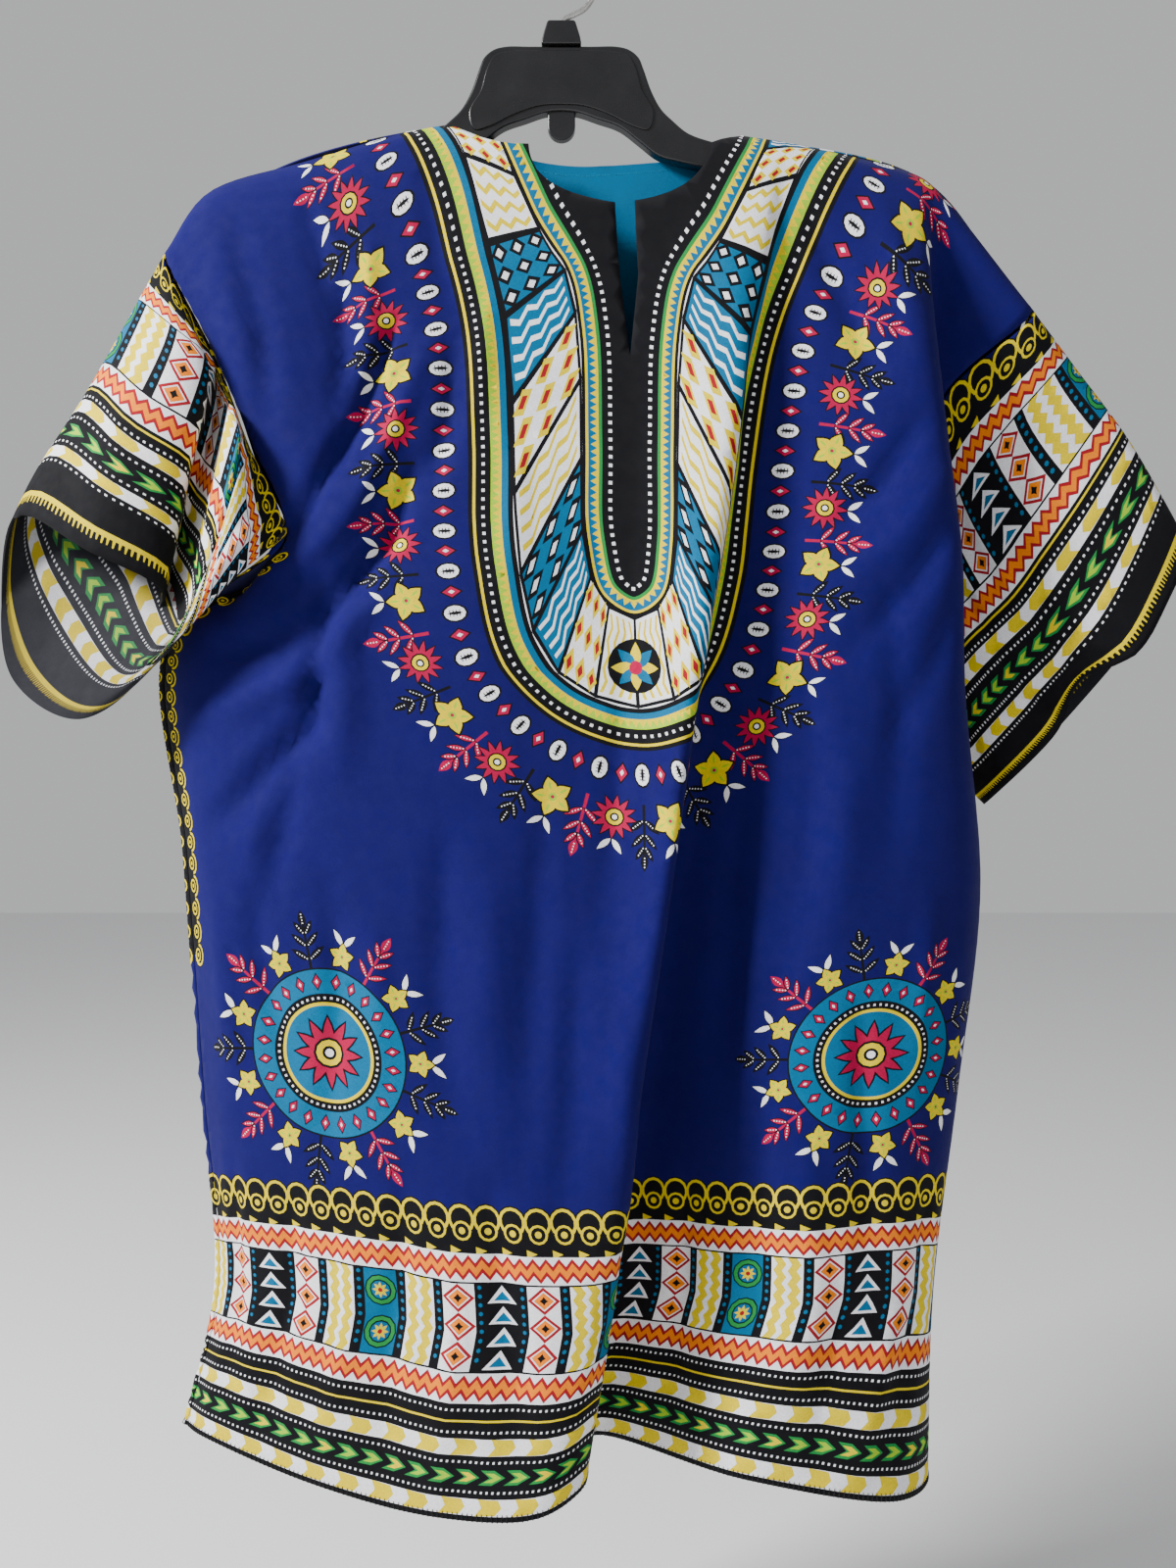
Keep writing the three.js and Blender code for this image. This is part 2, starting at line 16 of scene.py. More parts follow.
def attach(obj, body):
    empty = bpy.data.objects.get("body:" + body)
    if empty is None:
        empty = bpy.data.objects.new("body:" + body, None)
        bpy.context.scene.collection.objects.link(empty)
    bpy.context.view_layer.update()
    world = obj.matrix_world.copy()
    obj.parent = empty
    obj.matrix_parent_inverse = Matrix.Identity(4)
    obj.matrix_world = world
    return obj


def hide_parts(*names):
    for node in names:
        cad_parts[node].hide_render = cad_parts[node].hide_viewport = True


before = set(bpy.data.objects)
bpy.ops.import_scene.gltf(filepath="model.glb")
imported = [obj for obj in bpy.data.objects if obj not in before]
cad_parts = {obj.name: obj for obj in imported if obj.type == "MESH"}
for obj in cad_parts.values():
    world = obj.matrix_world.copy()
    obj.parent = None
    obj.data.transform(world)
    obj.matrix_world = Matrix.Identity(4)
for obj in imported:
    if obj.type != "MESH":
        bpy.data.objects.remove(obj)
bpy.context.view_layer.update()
MM = 0.001
random.seed(7)

# ---------------------------------------------------------------- sizes
LENGTH = 840.0
ARMHOLE = 245.0
SLEEVE_LENGTH = 190.0
SLEEVE_ROUND = 490.0
SHOULDER_ROLL = 9.0
CLOTH = 1.5
GRID = 7.0
INSIDE_GRID = 5.0
FACING_INSET = 2.2
ARMHOLE_LIFT = 1.9  # sleeve top edge to the panels' armhole edge
HEM_STITCH_SPOTS = 300  # points along a hem for its overlock
PRINT_REACH, PRINT_ABOVE, PRINT_BELOW = 335, 40, 20  # the printed ground past a panel's edges

COLUMNS = ("seam", "corner", "side", "chest", "middle", "crest", "root", "breast", "turn", "back", "end")
MIDDLE = COLUMNS.index("middle")

# v, how far the print's axis lies from the middle column, then a point for each column
FRONT = (
    (0, 0, (-244, 0, -183), (-221, 0, -150), (-160, 0, -130), (-71, 0, -107), (43, 0, -106), (128, 0, -116),
     (140, 0, -118), (169, 0, -124), (218, 0, -137), (231, 0, -145), (290, 0, -218)),
    (80, 0, (-214, -20, -249), (-198, -28, -240), (-147, -22, -215), (-61, -20, -196), (42, -20, -193),
     (121, -30, -208), (129, -20, -208), (165, -22, -213), (222, -30, -228), (229, -4, -232), (240, 4, -272)),
    (160, 0, (-188, -24, -309), (-169, -30, -296), (-126, -26, -280), (-55, -26, -271), (42, -24, -273),
     (108, -40, -284), (116, -22, -284), (164, -30, -289), (228, -38, -305), (234, -2, -308), (222, 9, -330)),
    (245, 0, (-167, -26, -369), (-142, -34, -362), (-101, -30, -355), (-42, -34, -354), (42, -30, -356),
     (95, -48, -364), (104, -22, -364), (163, -36, -368), (234, -44, -380), (241, -4, -382), (206, 12, -390)),
    (340, -3, (-244, 4, -428), (-224, -12, -430), (-141, -36, -440), (-53, -42, -447), (42, -38, -450),
     (80, -58, -453), (89, -22, -453), (162, -42, -453), (236, -40, -455), (246, -4, -456), (236, 12, -457)),
    (480, -14, (-234, 4, -560), (-213, -20, -560), (-141, -40, -566), (-52, -50, -577), (37, -52, -581),
     (62, -66, -583), (69, -16, -583), (155, -48, -578), (242, -36, -574), (258, -10, -576), (257, 8, -578)),
    (620, -44, (-223, 4, -713), (-203, -18, -708), (-140, -42, -706), (-57, -62, -710), (14, -70, -712),
     (42, -72, -713), (49, -8, -714), (143, -52, -705), (230, -34, -702), (244, -10, -706), (243, 8, -710)),
    (740, -62, (-214, 4, -828), (-197, -16, -825), (-136, -44, -826), (-58, -68, -831), (5, -76, -830),
     (28, -70, -828), (34, 0, -830), (131, -54, -820), (212, -36, -822), (229, -10, -828), (229, 8, -831)),
    (840, -54, (-234, 4, -918), (-219, -15, -916), (-145, -46, -930), (-68, -70, -937), (-11, -82, -931),
     (13, -68, -922), (20, 6, -925), (108, -52, -924), (197, -46, -940), (225, -12, -945), (226, 8, -943)),
)
LEVELS = [row[0] for row in FRONT]

# v, then y and rise at five columns across the back
BACK = (
    (0, (0, 0, 0, 0, 0), (0, 0, 0, 0, 0)),
    (80, (14, 15, 14, 15, 15), (0, 0, 0, 0, 0)),
    (160, (24, 20, 26, 18, 24), (0, 2, 4, 2, 0)),
    (245, (28, 20, 34, 20, 34), (0, 4, 6, 4, 0)),
    (340, (34, 18, 40, 22, 38), (0, 2, 4, 2, 0)),
    (480, (38, 18, 46, 24, 42), (0, 0, 0, 0, 0)),
    (620, (44, 20, 52, 28, 46), (0, 0, 0, 0, 0)),
    (740, (48, 24, 58, 32, 50), (0, 0, 0, 0, 0)),
    (840, (52, 28, 64, 36, 54), (0, 0, 0, 0, 0)),
)
BACK_SHARES = (0.12, 0.31, 0.5, 0.7, 0.88)
BACK_ARMHOLE_LEFT = ((-244, 0, -183), (-216, 18, -250), (-192, 16, -318))
BACK_ARMHOLE_RIGHT = ((290, 0, -218), (270, 26, -276), (244, 30, -336))
SIDE_GAP, SIDE_TURN, EDGE_SHARE = 1.0, 6.0, 0.3

# w, then a point for each station round a sleeve: top, front, turn, valley, inner, under, rear, outer
SLEEVE_STATIONS = (0, 0.09, 0.15, 0.19, 0.3, 0.5, 0.68, 0.85, 1)
SLEEVE_WEARER_RIGHT = (
    (50, (-267, 2, -221), (-230, -34, -250), (-208, -28, -266), (-214, -4, -275), (-190, -42, -310),
     (-190, -40, -392), (-218, 20, -325), (-256, 22, -246)),
    (110, (-299, 2, -277), (-253, -40, -312), (-224, -34, -330), (-230, -6, -340), (-206, -44, -372),
     (-226, -40, -430), (-268, 14, -372), (-312, 22, -306)),
    (160, (-327, 2, -321), (-268, -42, -352), (-232, -34, -374), (-242, -6, -386), (-226, -36, -420),
     (-268, -28, -462), (-322, 16, -430), (-346, 22, -367)),
    (190, (-342, 2, -351), (-278, -42, -380), (-238, -32, -401), (-250, -6, -415), (-250, -26, -446),
     (-294, -14, -477), (-346, 12, -451), (-357, 20, -402)),
)
SLEEVE_WEARER_LEFT = (
    (50, (320, 4, -255), (284, -2, -296), (264, 4, -322), (254, 12, -340), (232, 22, -372),
     (220, 34, -414), (250, 46, -366), (294, 34, -292)),
    (110, (354, 4, -301), (322, -8, -352), (300, -8, -384), (288, 2, -404), (256, 4, -436),
     (234, 24, -470), (270, 40, -418), (330, 30, -338)),
    (160, (378, 4, -342), (356, -10, -386), (336, -12, -422), (318, 4, -446), (290, -6, -478),
     (258, 22, -518), (300, 42, -466), (362, 32, -388)),
    (190, (393, 4, -370), (374, -12, -402), (352, -14, -438), (326, 6, -452), (305, -8, -486),
     (268, 18, -530), (310, 40, -494), (380, 30, -408)),
)

# ---------------------------------------------------------------- colours (linear)
def linear(red, green, blue):
    """An 8-bit sRGB colour as linear values."""
    channels = [c / 255 for c in (red, green, blue)]
    return tuple(c / 12.92 if c <= 0.04045 else ((c + 0.055) / 1.055) ** 2.4 for c in channels)


BLUE = linear(15, 9, 84)
TURQUOISE = linear(0, 96, 136)
CRIMSON = linear(166, 8, 62)
YELLOW = linear(216, 192, 4)
LIME = linear(150, 190, 40)
GREEN = linear(30, 130, 60)
WHITE = linear(232, 232, 236)
BLACK = linear(13, 13, 17)
ORANGE = linear(232, 124, 10)
RED = linear(150, 22, 34)


# ---------------------------------------------------------------- curves and surfaces
def centripetal(points, places, closed=False):
    """Points on a centripetal Catmull-Rom curve through points, at places from 0 to 1."""
    points = np.asarray(points, float)
    count = len(points)
    position = np.asarray(places, float) * (count if closed else count - 1)
    whole = np.floor(position).astype(int)
    if not closed:
        whole = np.minimum(whole, count - 2)
    share = (position - whole)[:, None]

    def pick(k):
        if closed:
            return points[k % count]
        found = points[np.clip(k, 0, count - 1)].copy()
        found[k < 0] = 2 * points[0] - points[1]
        found[k > count - 1] = 2 * points[-1] - points[-2]
        return found

    p0, p1, p2, p3 = (pick(whole + k) for k in (-1, 0, 1, 2))
    gaps = [np.maximum(((b - a) ** 2).sum(1), 1e-12) ** 0.25 for a, b in ((p0, p1), (p1, p2), (p2, p3))]
    d0, d1, d2 = (g[:, None] for g in gaps)
    m1 = ((p1 - p0) / d0 - (p2 - p0) / (d0 + d1) + (p2 - p1) / d1) * d1
    m2 = ((p2 - p1) / d1 - (p3 - p1) / (d1 + d2) + (p3 - p2) / d2) * d1
    return (
        p1
        + m1 * share
        + (3 * (p2 - p1) - 2 * m1 - m2) * share**2
        + (2 * (p1 - p2) + m1 + m2) * share**3
    )


def skin(rows, levels, count):
    """Rows of points smoothed over evenly spaced levels: an array of (count + 1, columns, 3)."""
    rows = np.asarray(rows, float)
    wanted = np.linspace(0, levels[-1], count + 1)
    places = np.interp(wanted, levels, np.arange(len(levels))) / (len(levels) - 1)
    return np.stack([centripetal(rows[:, j], places) for j in range(rows.shape[1])], 1)


def rolled(row, towards):
    """The row just below the shoulder, where the cloth rounds over the hanger's arm."""
    lower = row.copy()
    lower[:, 1] = towards * SHOULDER_ROLL
    lower[:, 2] -= SHOULDER_ROLL
    return lower


DENSE = 10
LAYERS = 210


def spread(points):
    """A row through named points, with the same number of steps between each pair."""
    return centripetal(points, np.linspace(0, 1, (len(points) - 1) * DENSE + 1))


def panel_surface(rows, towards):
    first = rows[0].copy()
    first[:, 1] = towards * 0.3
    levels = [0, 1.6 * SHOULDER_ROLL, *LEVELS[1:]]
    return skin([first, rolled(rows[0], towards), *rows[1:]], levels, LAYERS)


def unit(vectors):
    return vectors / np.maximum(np.linalg.norm(vectors, axis=-1, keepdims=True), 1e-9)


front_surface = panel_surface([spread(row[2:]) for row in FRONT], -1)


def along_edge(surface, level, last):
    """The edge point of a panel at a level, and the direction out of the panel there."""
    place = level / LENGTH * LAYERS
    k = min(int(place), LAYERS - 1)
    near, far = (-2, -1) if last else (1, 0)
    rows = surface[k] * (1 - place + k) + surface[k + 1] * (place - k)
    return rows[far], unit(rows[far] - rows[near])


def front_height(level, x):
    row = front_surface[int(round(level / LENGTH * LAYERS))]
    j = max(1, int(np.argmax(row[:, 0] >= x)))
    share = np.clip((x - row[j - 1, 0]) / (row[j, 0] - row[j - 1, 0]), 0, 1)
    return row[j - 1, 2] * (1 - share) + row[j, 2] * share


def back_row(index):
    level, depths, rises = BACK[index]
    (left, left_out), (right, right_out) = (along_edge(front_surface, level, last) for last in (False, True))
    if level < ARMHOLE:
        left, right = np.array(BACK_ARMHOLE_LEFT[index], float), np.array(BACK_ARMHOLE_RIGHT[index], float)
    inner = []
    for share, depth, rise in zip(BACK_SHARES, depths, rises):
        x = left[0] * (1 - share) + right[0] * share
        inner.append((x, depth, front_height(level, x) + rise))
    inner = np.array(inner, float)
    if level < ARMHOLE:
        near = left + (inner[0] - left) * EDGE_SHARE
        far = right + (inner[-1] - right) * EDGE_SHARE
        return spread([left, near, *inner, far, right])
    reach = SIDE_GAP + SIDE_TURN
    return spread([
        left + left_out * SIDE_GAP,
        left + left_out * reach,
        *inner,
        right + right_out * reach,
        right + right_out * SIDE_GAP,
    ])


back_surface = panel_surface([back_row(k) for k in range(len(BACK))], 1)


def arc_lengths(surface):
    steps = np.linalg.norm(np.diff(surface, axis=1), axis=2)
    return np.concatenate([np.zeros((len(surface), 1)), np.cumsum(steps, axis=1)], 1)


def flat_columns(surface, middle, axis_levels, axis):
    """The flat u of every point of a surface: its arc length from the print's axis."""
    lengths = arc_lengths(surface)
    levels = np.linspace(0, LENGTH, len(surface))
    shift = np.interp(levels, axis_levels, axis)
    return lengths - lengths[:, middle : middle + 1] + shift[:, None]


front_u = flat_columns(front_surface, MIDDLE * DENSE, LEVELS, [row[1] for row in FRONT])
BACK_MIDDLE = int(round(DENSE * 4.4))  # the column that the back's print is centred on
back_u = flat_columns(back_surface, BACK_MIDDLE, [0, LENGTH], [0, 0])


def face_normals(surface):
    """The unit normal at each point of a surface."""
    return unit(np.cross(np.gradient(surface, axis=0), np.gradient(surface, axis=1)))


def carried(values, u_of, flat, length):
    """values (levels, columns, 3) looked up at flat points (u, v)."""
    layers = len(values) - 1
    place = np.clip(flat[:, 1] / length * layers, 0, layers - 1e-6)
    layer = place.astype(int)
    share = (place - layer)[:, None]
    found = np.zeros((len(flat), 3))
    columns = np.arange(values.shape[1])
    for k in np.unique(layer):
        chosen = layer == k
        rows = []
        for row in (k, k + 1):
            j = np.interp(flat[chosen, 0], u_of[row], columns)
            j0 = np.minimum(j.astype(int), len(columns) - 2)
            part = (j - j0)[:, None]
            rows.append(values[row, j0] * (1 - part) + values[row, j0 + 1] * part)
        found[chosen] = rows[0] * (1 - share[chosen]) + rows[1] * share[chosen]
    return found


# ---------------------------------------------------------------- the print, as flat shapes
class Print:
    """Flat shapes of one colour each, painted over one another in the order they are added."""

    def __init__(self):
        self.shapes = []

    def add(self, points, colour):
        self.shapes.append((np.asarray(points, float), colour))

    def rectangle(self, u0, v0, u1, v1, colour):
        self.add([(u0, v0), (u1, v0), (u1, v1), (u0, v1)], colour)

    def placed(self, outline, origin, angle, colour, size=1.0):
        """An outline turned so that its own +y points along angle, at origin."""
        c, s = math.cos(angle), math.sin(angle)
        points = np.asarray(outline, float) * size
        turned = np.stack([points[:, 0] * -s + points[:, 1] * c, points[:, 0] * c + points[:, 1] * s], 1)
        self.add(turned + np.asarray(origin, float), colour)


def ring(radius, sides=12, stretch=1.0, turn=0.0):
    angles = np.linspace(0, 2 * math.pi, sides, endpoint=False) + turn
    return np.stack([radius * np.cos(angles), radius * stretch * np.sin(angles)], 1)


def leaf(length, width, sides=5):
    """A pointed leaf from the origin along +y."""
    t = np.linspace(0, 1, sides + 1)
    half = width / 2 * np.sin(math.pi * t**0.85)
    right = np.stack([half, t * length], 1)
    left = np.stack([-half, t * length], 1)[1:-1][::-1]
    return np.concatenate([right, left])


def square(size):
    half = size / 2
    return np.array([(-half, -half), (half, -half), (half, half), (-half, half)])


def offset(points, dx, dy):
    return np.asarray(points, float) + np.array([dx, dy])


def spun(points, angle):
    c, s = math.cos(angle), math.sin(angle)
    points = np.asarray(points, float)
    return np.stack([points[:, 0] * c - points[:, 1] * s, points[:, 0] * s + points[:, 1] * c], 1)


def flower(art, origin, angle, size=1.0, petals=5, colour=YELLOW):
    """A five-petalled flower with dark petal edges and a lime eye."""
    for k in range(petals):
        turn = 2 * math.pi * k / petals
        art.placed(spun(leaf(11.5, 8.4), turn), origin, angle, BLACK, size)
    for k in range(petals):
        turn = 2 * math.pi * k / petals
        art.placed(spun(leaf(10.2, 7.0), turn), origin, angle, colour, size)
        art.placed(spun(offset(leaf(5.0, 1.3, 3), 0, 3.6), turn), origin, angle, LIME, size)
    art.placed(ring(2.2, 8), origin, angle, LIME, size)
    art.placed(ring(1.0, 6), origin, angle, CRIMSON, size)


def sprig(art, origin, angle, colour, size=1.0):
    """A wheat-ear sprig: a stem with three pairs of leaves and a bud, each with pale dots."""
    dark = BLACK if colour is not BLACK else linear(8, 8, 10)
    art.placed([(-1.1, -14), (1.1, -14), (0.8, 20), (-0.8, 20)], origin, angle, colour, size)
    for height, spread_angle, long in ((-4, 0.95, 15), (5, 0.8, 14), (13, 0.62, 12)):
        for side in (-1, 1):
            blade = offset(spun(leaf(long, 5.0), side * spread_angle), 0, height)
            art.placed(blade, origin, angle, dark, size)
            inner = offset(spun(offset(leaf(long - 1.8, 3.6), 0, 0.8), side * spread_angle), 0, height)
            art.placed(inner, origin, angle, colour, size)
            for step in range(2, int(long) - 3, 2):
                dot = offset(spun(offset(square(0.85), 0, step), side * spread_angle), 0, height)
                art.placed(dot, origin, angle, WHITE, size)
    art.placed(offset(leaf(12, 6.2), 0, 18), origin, angle, colour, size)
    for step in (21, 23, 25, 27):
        art.placed(offset(square(0.85), 0, step), origin, angle, WHITE, size)


def leaf_pair(art, origin, angle, size=1.0):
    """Two white leaves that open away from each other."""
    for side in (-1, 1):
        art.placed(spun(leaf(13.5, 5.2), side * 0.7), origin, angle, linear(12, 12, 30), size)
        art.placed(spun(offset(leaf(12, 4.0), 0, 0.7), side * 0.7), origin, angle, WHITE, size)


def dots_on(art, path, spacing, size, colour):
    """Small squares at even spacing on a path."""
    for origin, angle in stations(path, spacing):
        art.placed(square(size), origin, angle, colour)


def stations(path, spacing, start=0.5):
    """Points and outward angles at even spacing along a path, measured from its start."""
    path = np.asarray(path, float)
    lengths = np.concatenate([[0], np.cumsum(np.linalg.norm(np.diff(path, axis=0), axis=1))])
    count = max(1, int(lengths[-1] / spacing))
    step = lengths[-1] / count
    found = []
    for k in range(count):
        s = (k + start) * step
        here = [np.interp(s, lengths, path[:, axis]) for axis in (0, 1)]
        ahead = [np.interp(min(s + 1, lengths[-1]), lengths, path[:, axis]) for axis in (0, 1)]
        behind = [np.interp(max(s - 1, 0), lengths, path[:, axis]) for axis in (0, 1)]
        tangent = math.atan2(ahead[1] - behind[1], ahead[0] - behind[0])
        found.append((here, tangent - math.pi / 2))
    return found


# ---- bands that both the hem and the sleeves carry, as (height, painter) from the inside out
def zigzag(art, u0, u1, v0, v1, pitch, colour, edge):
    """A zigzag strip: its two edges run v0..v1, and edge is the strip's own height."""
    count = int(round((u1 - u0) / pitch))
    us = np.linspace(u0, u1, 2 * count + 1)
    vs = np.where(np.arange(2 * count + 1) % 2, v1 - edge, v0)
    upper = np.stack([us, vs], 1)
    lower = np.stack([us, vs + edge], 1)[::-1]
    art.add(np.concatenate([upper, lower]), colour)


def band_scallops(art, u0, u1, v0, v1):
    """Yellow scallops over black with a row of plain rings and dots."""
    pitch = 15.0
    count = int(round((u1 - u0) / pitch))
    pitch = (u1 - u0) / count
    art.rectangle(u0, v0 + 5, u1, v1, BLACK)
    for colour, radius in ((BLACK, 0.62), (YELLOW, 0.56), (BLACK, 0.44)):
        for k in range(count):
            centre = (u0 + (k + 0.5) * pitch, v0 + 8)
            art.placed(ring(pitch * radius, 14, 0.95), centre, 0, colour)
    for k in range(count):
        centre = (u0 + (k + 0.5) * pitch, v0 + 14.5)
        for radius, colour in ((5.6, YELLOW), (4.2, BLACK), (2.0, YELLOW)):
            art.placed(ring(radius, 12), centre, 0, colour)
        corner = (u0 + k * pitch, v1 - 1.5)
        art.placed([(-2.4, 0), (2.4, 0), (0, -6)], corner, math.pi, YELLOW)


def band_zigzag(art, u0, u1, v0, v1):
    """White teeth, a dark red strip, an orange strip and white teeth."""
    art.rectangle(u0, v0, u1, v1, WHITE)
    tall = v1 - v0
    zigzag(art, u0, u1, v0 + 0.8, v1 - 0.8, 7.5, RED, tall * 0.62)
    zigzag(art, u0, u1, v0 + tall * 0.2, v1 - tall * 0.2, 7.5, ORANGE, tall * 0.3)


def tile_lattice(art, u0, u1, v0, v1):
    """One column of three diamonds on white, in dark red and orange with black hearts."""
    art.rectangle(u0, v0, u1, v1, WHITE)
    middle = (u0 + u1) / 2
    half, step = (u1 - u0) / 2, (v1 - v0) / 3
    for k in range(3):
        v = v0 + (k + 0.5) * step
        for size, colour in ((1.0, RED), (0.74, WHITE), (0.62, ORANGE)):
            art.add([(middle - half * size, v), (middle, v - step / 2 * size), (middle + half * size, v),
                     (middle, v + step / 2 * size)], colour)
        art.placed(leaf(5, 2.6, 3), (middle, v - 2.5), math.pi / 2, BLACK)
        art.placed(leaf(5, 2.6, 3), (middle - 2.5, v), 0, BLACK)


def tile_waves(art, u0, u1, v0, v1):
    """Yellow waves down a white ground."""
    art.rectangle(u0, v0, u1, v1, WHITE)
    vs = np.linspace(v0, v1, 13)
    for middle in (u0 + (u1 - u0) * 0.27, u0 + (u1 - u0) * 0.73):
        wave = np.where(np.arange(13) % 2, 1.3, -1.3)
        right = np.stack([middle + 2.6 + wave, vs], 1)
        left = np.stack([middle - 2.6 + wave, vs], 1)[::-1]
        art.add(np.concatenate([right, left]), YELLOW)


def tile_flower(art, u0, u1, v0, v1):
    """Two round yellow flowers on turquoise, each in a green ring."""
    art.rectangle(u0, v0, u1, v1, TURQUOISE)
    middle, height = (u0 + u1) / 2, (v1 - v0) / 2
    reach = (u1 - u0) / 2
    for v in (v0 + height / 2, v0 + 1.5 * height):
        for size, colour in ((0.98, BLACK), (0.9, GREEN), (0.66, BLACK), (0.58, TURQUOISE)):
            art.placed(ring(reach * size, 12, 1.0), (middle, v), 0, colour)
        for k in range(8):
            art.placed(spun(leaf(reach * 0.5, 2.0, 3), k * math.pi / 4), (middle, v), 0, YELLOW)
        art.placed(ring(1.4, 6), (middle, v), 0, RED)


def tile_steps(art, u0, u1, v0, v1):
    """Nested triangles in turquoise, white and black."""
    art.rectangle(u0, v0, u1, v1, BLACK)
    count = 4
    step = (v1 - v0) / count
    for k in range(count):
        v = v0 + k * step
        art.add([(u0 + 1, v + step - 1), (u1 - 1, v + step - 1), ((u0 + u1) / 2, v + 1)], WHITE)
        foot = v + step - 2.4
        art.add([(u0 + 4.5, foot), (u1 - 4.5, foot), ((u0 + u1) / 2, v + 4.4)], TURQUOISE)


TILES = (tile_flower, tile_waves, tile_lattice, tile_steps, tile_lattice, tile_waves)
TILE, TILE_GAP = 19.0, 6.0


def band_tiles(art, u0, u1, v0, v1):
    """Upright tiles with dotted black bars between them."""
    art.rectangle(u0, v0, u1, v1, BLACK)
    count = int(round((u1 - u0) / (TILE + TILE_GAP)))
    pitch = (u1 - u0) / count
    for k in range(count):
        left = u0 + k * pitch + TILE_GAP / 2
        TILES[k % len(TILES)](art, left, left + pitch - TILE_GAP, v0 + 1, v1 - 1)
        for v in np.arange(v0 + 3, v1 - 2, 5.0):
            art.placed(ring(1.3, 6), (u0 + k * pitch, v), 0, TURQUOISE)


def band_blocks(art, u0, u1, v0, v1):
    """A stripe of white and yellow blocks with rounded fronts."""
    art.rectangle(u0, v0, u1, v1, WHITE)
    middle = (v0 + v1) / 2
    for u in np.arange(u0, u1 - 12, 22.0):
        start, end = u, u + 12
        art.add([(start, v0), (end, v0 + 0.4), (end + 3, middle), (end, v1 - 0.4), (start, v1),
                 (start + 3, middle)], YELLOW)


def band_arrows(art, u0, u1, v0, v1):
    """Green and yellow arrowheads one behind the other."""
    art.rectangle(u0, v0, u1, v1, BLACK)
    middle = (v0 + v1) / 2
    for k, u in enumerate(np.arange(u0, u1 - 16, 15.0)):
        art.add([(u, v0 + 0.5), (u + 8, v0 + 0.5), (u + 15, middle), (u + 8, v1 - 0.5), (u, v1 - 0.5),
                 (u + 6, middle)], GREEN)
        art.add([(u + 3, v0 + 2), (u + 8, v0 + 2), (u + 13, middle), (u + 8, v1 - 2), (u + 3, v1 - 2),
                 (u + 8, middle)], LIME if k % 3 else YELLOW)


def band_black(art, u0, u1, v0, v1):
    art.rectangle(u0, v0, u1, v1, BLACK)


def band_dotted(art, u0, u1, v0, v1):
    """Black with one line of small white squares."""
    art.rectangle(u0, v0, u1, v1, BLACK)
    middle = (v0 + v1) / 2
    for u in np.arange(u0 + 1.5, u1, 3.4):
        art.placed(square(1.3), (u, middle), 0, WHITE)


def band_line(art, u0, u1, v0, v1):
    """Black with one thin yellow line."""
    art.rectangle(u0, v0, u1, v1, BLACK)
    middle = (v0 + v1) / 2
    art.rectangle(u0, middle - 0.6, u1, middle + 0.6, YELLOW)


def band_fringe(art, u0, u1, v0, v1):
    """A yellow band whose outer edge breaks into short threads over black."""
    art.rectangle(u0, v0, u1, v1, BLACK)
    solid = v0 + (v1 - v0) * 0.5
    art.rectangle(u0, v0 + 1.2, u1, solid, YELLOW)
    for k, u in enumerate(np.arange(u0 + 0.8, u1 - 1, 2.2)):
        long = (0.82, 0.98, 0.9, 1.0)[k % 4] * (v1 - solid)
        root, tip = solid - 0.2, solid + long
        art.add([(u, root), (u + 1.15, root), (u + 0.9, tip), (u + 0.35, tip)], YELLOW)


HEM_BANDS = (
    (27, band_scallops), (16, band_zigzag), (50, band_tiles), (16, band_zigzag), (7, band_dotted),
    (5, band_line), (7, band_dotted), (9, band_blocks), (7, band_dotted), (9, band_arrows),
    (7, band_dotted), (9, band_blocks), (3, band_black),
)
SLEEVE_BANDS = (
    (28, band_scallops), (15, band_zigzag), (44, band_tiles), (14, band_zigzag), (5, band_line),
    (5, band_dotted), (8, band_blocks), (8, band_dotted), (9, band_arrows), (7, band_dotted),
    (8, band_blocks), (6, band_dotted), (16, band_black), (9, band_fringe), (8, band_black),
)


def stacked(art, u0, u1, start, bands):
    """Bands one under another from start."""
    for height, painter in bands:
        painter(art, u0, u1, start, start + height)
        start += height


# ---- the yoke: bands that follow one rounded bib, with rings of motifs round it
# Right-hand halves as (u, v) from the shoulder down to the middle.
YOKE = ((150, -20), (140, 15), (118, 65), (103, 125), (98, 200), (96, 280), (84, 336), (50, 376), (0, 392))
INNER = ((90, -20), (82, 22), (62, 60), (39, 92), (31, 130), (29, 200), (28, 262), (20, 296), (0, 308))


def outline_from(half, distance=0.0):
    """A whole outline, right side down and left side up, moved out by distance (in where negative)."""
    right = np.array(half, float)
    points = np.concatenate([right, right[-2::-1] * (-1, 1)])
    path = centripetal(points, np.linspace(0, 1, 161))
    tangent = unit(np.gradient(path, axis=0))
    return path + np.stack([tangent[:, 1], -tangent[:, 0]], 1) * distance


def teeth_on(art, path, pitch, height, colour, inwards=False):
    """A row of small triangles standing on a path."""
    for origin, angle in stations(path, pitch):
        art.placed([(-pitch * 0.46, 0), (pitch * 0.46, 0), (0, height)], origin,
                   angle + (math.pi if inwards else 0), colour)


